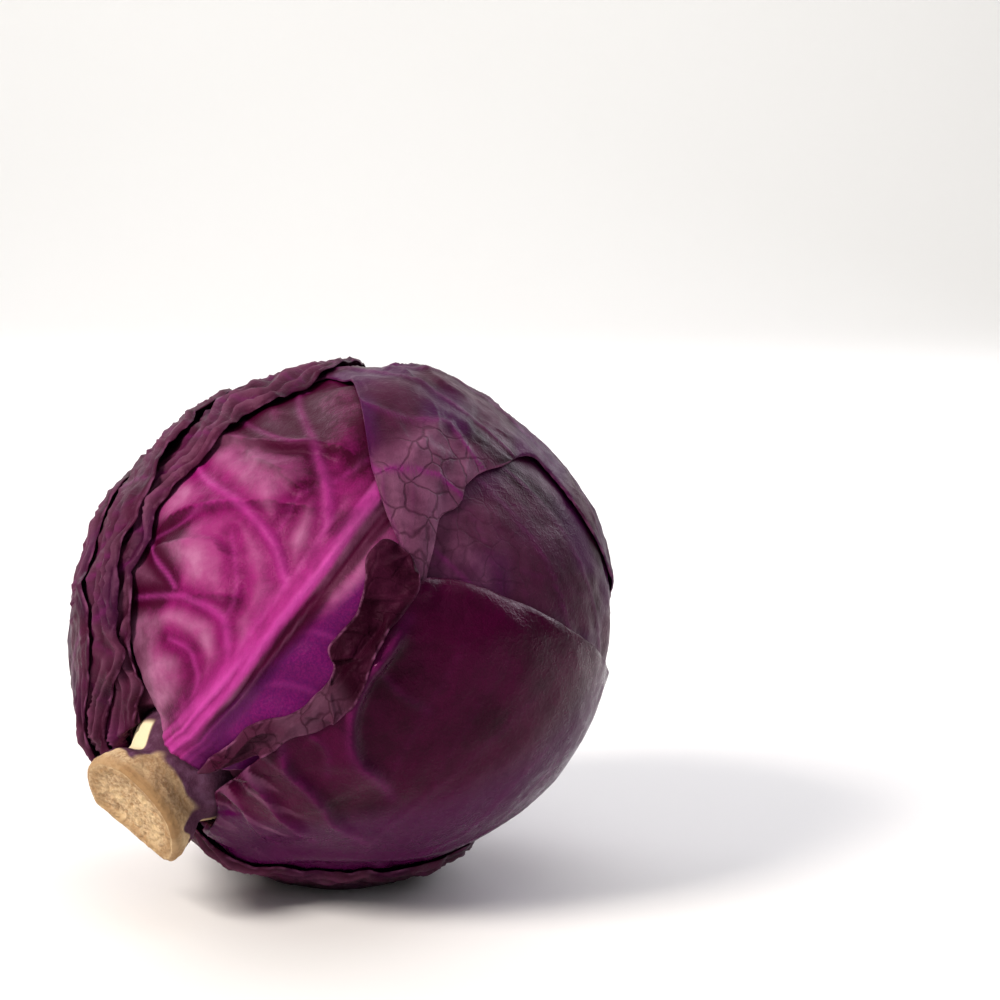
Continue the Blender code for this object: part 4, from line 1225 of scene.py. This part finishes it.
def mauve_pigment_and_light(leaf, polar, azimuth, grid, marks, patchy):
    """Dark wine and violet over the crown, with painted light on its swellings; matte and pale on the
    part that hangs forward.
    """
    # Painted light: the swellings are drawn lighter.
    painted_swell_light = np.clip(marks["puffs"], 0, 1.2)
    # The part that hangs forward ends along a slanted fold, with a band of painted shade along it.
    height = polar + 0.35 * (azimuth - 3)
    matte = smooth_step(112, 106, height) * smooth_step(12, 6, azimuth)
    matte = matte * smooth_step(-44, -30, azimuth)
    if leaf.name != "crown_leaf":
        matte = 0.5 * smooth_step(120, 90, polar) * smooth_step(-45, -20, azimuth)
    painted_fold_band_shade = np.exp(-(((height - 113) / 3.5) ** 2)) * smooth_step(16, 8, azimuth)
    tone = 0.55 - 0.3 * painted_swell_light + 0.3 * patchy - 0.25 * matte + 0.7 * painted_fold_band_shade + 0.6 * marks["painted_foot_shade"]
    bloom = np.clip(0.06 * painted_swell_light + 0.85 * matte * (0.35 + 0.65 * painted_swell_light), 0, 1)
    violet = (1 - matte) * smooth_step(-0.3, 0.5, patchy) * 0.6
    vein = np.clip(marks["vein"], 0, 1) ** 2 * (0.35 + 0.65 * matte)
    return {"tone": tone, "violet": violet, "bloom": bloom, "matte": matte, "vein": vein}


def wine_pigment_and_light(leaf, polar, azimuth, grid, marks, patchy):
    """Deep wine, purple where it turns under the head, magenta along its ridges, with painted glints
    near the stalk.
    """
    under = smooth_step(-58, -72, azimuth)
    tone = 0.4 + 0.3 * patchy - 0.4 * under + 0.45 * marks["painted_foot_shade"]
    # Painted glints: streaks of bloom near the stalk stand for the glossy highlights there.
    chart = np.stack([grid.across, grid.along * 0.12, polar * 0], -1)
    painted_glint_streaks = noise(chart, 2.2 * MM, leaf.seed + 21)
    bloom = 0.3 * smooth_step(38, 24, polar) * smooth_step(0.15, 0.6, painted_glint_streaks)
    vein = 0.9 * np.clip(marks["vein"], 0, 1) ** 1.3
    return {"tone": tone, "violet": 0.5 * under, "bloom": bloom, "vein": vein}


def withered_pigment_and_shade(leaf, polar, azimuth, grid, marks, patchy):
    """Ashen and dry near the stalk, deep maroon with a net of veins further up."""
    dry = smooth_step(56, 48, polar)
    tone = 0.7 + 0.4 * patchy + 0.7 * marks["painted_foot_shade"] - 0.4 * dry
    bloom = np.clip(dry * (0.55 + 0.7 * patchy), 0, 1)
    return {"tone": tone, "violet": np.zeros_like(polar), "bloom": bloom, "matte": 0.7 + 0.3 * dry}


# What changes each look from the plain dusky one, painted shade and light included. All take the
# same values, so that a leaf's look can find its own.
PIGMENTS_AND_LIGHT = {
    "magenta": magenta_pigment_and_light, "mauve": mauve_pigment_and_light, "wine": wine_pigment_and_light,
    "withered": withered_pigment_and_shade,
}


def pigment_and_light(leaf, grid, marks):
    """How dark, how violet and how bloomed each place is, with painted shade and sheen, and where its
    veins and painted rim highlight are.
    """
    polar, azimuth = angles(grid.outs)
    chart = grid.outs * CHART_RADIUS
    # Pleats: painted highlight on their crests, lighter and bloomed, and painted shade in their
    # troughs.
    raised = np.clip(marks["pleats"], -0.2, 1.2)
    patchy = noise(chart, 14 * MM, leaf.seed + 20)
    paint = {
        "tone": 0.65 - 0.6 * raised + 0.25 * patchy + 0.5 * marks["painted_foot_shade"],
        "violet": 0.2 * smooth_step(0.1, 0.7, patchy),
        "bloom": np.clip(raised, 0, 1) * 0.8,
        "matte": np.zeros_like(polar),
        # Painted highlight: a light line along the margin.
        "rim": smooth_step(0.9 * MM, 0.3 * MM, grid.margin),
        "vein": 0.45 * np.clip(marks["vein"], 0, 1) ** 1.4,
    }
    if leaf.look in PIGMENTS_AND_LIGHT:
        paint.update(PIGMENTS_AND_LIGHT[leaf.look](leaf, polar, azimuth, grid, marks, patchy))
    return paint


class CABBAGE_OT_core(bpy.types.Operator):
    """Builds the cut stalk with its core, and the heart of packed inner leaves"""

    bl_idname = "cabbage.core"
    bl_label = "Stalk and heart"

    def execute(self, context):
        colours = context.scene.cabbage_colours
        self.add_stalk(colours)
        self.add_heart(colours)
        return {"FINISHED"}

    def add_stalk(self, colours):
        """Adds the stalk with its cork, its leaf scar and its bare patch marked.

        Heights are in millimetres along its axis, and angles in degrees round it.
        """
        wall = stalk_surface()
        face = cut_face(wall[-1])
        rings = np.concatenate([wall, face[1:]])
        rows, columns = rings.shape[:2]
        azimuth = angles(rings)[1]
        height = rings @ STALK / MM
        on_wall = np.zeros((rows, columns))
        on_wall[:len(wall)] = 1
        share = np.clip((np.arange(rows) - len(wall)) / (CUT_RINGS - 1), 0, 1)[:, None]
        corky = np.exp(-(((share - 0.1) / 0.1) ** 2)) * (share > 0)
        corky = corky + on_wall * smooth_step(89, 92, height)
        ragged = noise(rings, 5 * MM, 12) * 2.2
        scar = on_wall * smooth_step(34, 29, np.abs(turned_by(azimuth, SCAR_AT)) + ragged * 3) * (
            smooth_step(72, 74, height) * smooth_step(84, 82.6, height + ragged))
        skin = on_wall * smooth_step(88.5, 87.5, height + 1.3 * ragged) * (1 - scar)
        turn = turned_by(azimuth, SKIN_AT) + 4 * ragged
        skin = skin * smooth_step(-120, -112, turn) * smooth_step(110, 102, turn)
        bare = smooth_step(80, 82, height + ragged) * smooth_step(-64, -56, azimuth + 4 * ragged) * (
            smooth_step(32, 22, azimuth + 6 * ragged))
        skin = skin * (1 - bare)
        corky = corky + 0.6 * bare * on_wall
        points, faces, marks = ringed(rings, {"corky": corky, "scar": scar, "skin": skin})
        piece = add_piece("stalk_cut", points, faces, marks, dried_stalk("dried_cut_stalk", colours))
        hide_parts("stalk")

    def add_heart(self, colours):
        """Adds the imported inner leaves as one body."""
        rings = heart_surface()
        points, faces, marks = ringed(rings, {"bloom": np.full(rings.shape[:2], 0.3)})
        material = waxy_leaf("waxy_heart_leaves", "dusky", colours)
        piece = add_piece("heart_leaves", points, faces, marks, material)
        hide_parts("heart")


class CABBAGE_OT_leaves(bpy.types.Operator):
    """Drapes the wrapper leaves over the heart, from the innermost outwards"""

    bl_idname = "cabbage.leaves"
    bl_label = "Wrapper leaves"

    def execute(self, context):
        sizes, colours = context.scene.cabbage_sizes, context.scene.cabbage_colours
        pile = Pile()
        pile.add(stalk_surface())
        pile.add(heart_surface())
        for leaf in LEAVES:
            grid = leaf_grid(leaf)
            inner, outer, marks = leaf_surfaces(leaf, grid, pile, sizes)
            pile.add(outer)
            points, faces = shell(inner, outer)
            paint = {
                name: np.tile(values.ravel(), 2) for name, values in pigment_and_light(leaf, grid, marks).items()
            }
            material = waxy_leaf(f"waxy_{leaf.name}", leaf.look, colours)
            piece = add_piece(f"{leaf.name}_blade", points, faces, paint, material)
            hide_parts(leaf.name)
        return {"FINISHED"}


# Lamps: place in metres, size across, power in watts and colour.
LAMPS = {
    "key_softbox": ((-1.05, -0.7, 1.1), 0.55, 31.0, "#FFF8F0"),
    "top_softbox": ((0.25, -0.25, 1.5), 0.9, 4.0, "#FFFFFF"),
    "fill_softbox": ((0.5, -1.3, 0.9), 1.2, 3.0, "#F4F6FF"),
    "back_left_softbox": ((-0.8, 0.9, 0.9), 0.9, 5.0, "#F6F4FF"),
    "back_right_softbox": ((0.9, 0.8, 0.8), 0.8, 8.0, "#F6F4FF"),
    "sweep_softbox": ((0.0, 1.0, 1.9), 1.6, 25.0, "#FFFFFF"),
}
# What a lamp lights, where that isn't the head.
LIT = {"sweep_softbox": (0.0, 2.4, 0.7)}
WORLD_STRENGTH = 0.12
# The floor's sweep: where it starts behind the head, its curve and how high it rises.
SWEEP_BACK = 1.6
SWEEP_RADIUS = 0.8
SWEEP_HEIGHT = 2.5


class CABBAGE_OT_stage(bpy.types.Operator):
    """Adds the pale floor with its sweep, the soft lamps and the camera"""

    bl_idname = "cabbage.stage"
    bl_label = "Stage"

    def execute(self, context):
        scene = context.scene
        self.add_floor(scene)
        self.add_light(scene)
        self.add_camera(scene)
        return {"FINISHED"}

    def add_floor(self, scene):
        """Adds a floor that sweeps up behind the head."""
        half = scene.cabbage_sizes.floor
        turns = np.linspace(0, math.pi / 2, 24)
        profile = [(-half, 0.0), *zip(SWEEP_BACK + SWEEP_RADIUS * np.sin(turns),
                                      SWEEP_RADIUS * (1 - np.cos(turns)))]
        profile.append((SWEEP_BACK + SWEEP_RADIUS, SWEEP_HEIGHT))
        points = [(x, y, z) for y, z in profile for x in (-half, half)]
        faces = [(2 * k, 2 * k + 1, 2 * k + 3, 2 * k + 2) for k in range(len(profile) - 1)]
        mesh = bpy.data.meshes.new("floor_sweep")
        mesh.from_pydata(points, [], faces)
        mesh.shade_smooth()
        mesh.materials.append(painted_floor("matte_painted_board", scene.cabbage_colours))
        floor = bpy.data.objects.new("floor_sweep", mesh)
        scene.collection.objects.link(floor)

    def add_light(self, scene):
        """Adds an even, dim room and the lamps."""
        world = bpy.data.worlds.new("soft_room")
        world.use_nodes = True
        background = world.node_tree.nodes["Background"]
        background.inputs["Color"].default_value = (1, 1, 1, 1)
        background.inputs["Strength"].default_value = WORLD_STRENGTH
        scene.world = world
        scene.view_settings.view_transform = "Standard"
        for name, (place, size, power, colour) in LAMPS.items():
            light = bpy.data.lights.new(name, "AREA")
            light.size = size
            light.energy = power
            light.color = linear(colour)
            lamp = bpy.data.objects.new(name, light)
            lamp.location = place
            target = Vector(LIT.get(name, CENTRE))
            aim = target - Vector(place)
            lamp.rotation_euler = aim.to_track_quat("-Z", "Y").to_euler()
            scene.collection.objects.link(lamp)

    def add_camera(self, scene):
        """Puts the head's centre at its pixel in the photograph, seen from a little above."""
        focal = LENS / SENSOR * PHOTO_PIXELS
        away = MM_PER_PIXEL * MM * focal
        rise = CAMERA_ELEVATION
        back = Vector((0, -math.cos(rise), math.sin(rise)))
        up = Vector((0, math.sin(rise), math.cos(rise)))
        level = Matrix((Vector((1, 0, 0)), up, back)).transposed()
        half = PHOTO_PIXELS / 2
        look = Vector((HEAD_PIXEL[0] - half, half - HEAD_PIXEL[1], -focal)).normalized()
        turn = (level @ look).rotation_difference(-back)
        camera = bpy.data.cameras.new("camera")
        camera.lens = LENS
        camera.sensor_width = SENSOR
        eye = bpy.data.objects.new("camera", camera)
        eye.matrix_world = Matrix.Translation(Vector(CENTRE) + back * away) @ (
            turn.to_matrix() @ level).to_4x4()
        scene.collection.objects.link(eye)
        scene.camera = eye


class CABBAGE_PT_panel(bpy.types.Panel):
    """Lists the head's settings and the steps that build it"""

    bl_label = "Cabbage head"
    bl_idname = "CABBAGE_PT_panel"
    bl_space_type = "VIEW_3D"
    bl_region_type = "UI"
    bl_category = "Cabbage"

    def draw(self, context):
        for group in (context.scene.cabbage_sizes, context.scene.cabbage_colours):
            box = self.layout.box()
            for name in group.__annotations__:
                box.prop(group, name)
        for operator in OPERATORS:
            self.layout.operator(operator.bl_idname)


OPERATORS = (CABBAGE_OT_core, CABBAGE_OT_leaves, CABBAGE_OT_stage)
CLASSES = (CabbageSizes, CabbageColours, *OPERATORS, CABBAGE_PT_panel)


def register():
    for cls in CLASSES:
        bpy.utils.register_class(cls)
    bpy.types.Scene.cabbage_sizes = PointerProperty(type=CabbageSizes)
    bpy.types.Scene.cabbage_colours = PointerProperty(type=CabbageColours)


def unregister():
    del bpy.types.Scene.cabbage_colours
    del bpy.types.Scene.cabbage_sizes
    for cls in reversed(CLASSES):
        bpy.utils.unregister_class(cls)


def main():
    register()
    bpy.ops.cabbage.core()
    bpy.ops.cabbage.leaves()
    bpy.ops.cabbage.stage()


if __name__ == "__main__":
    main()
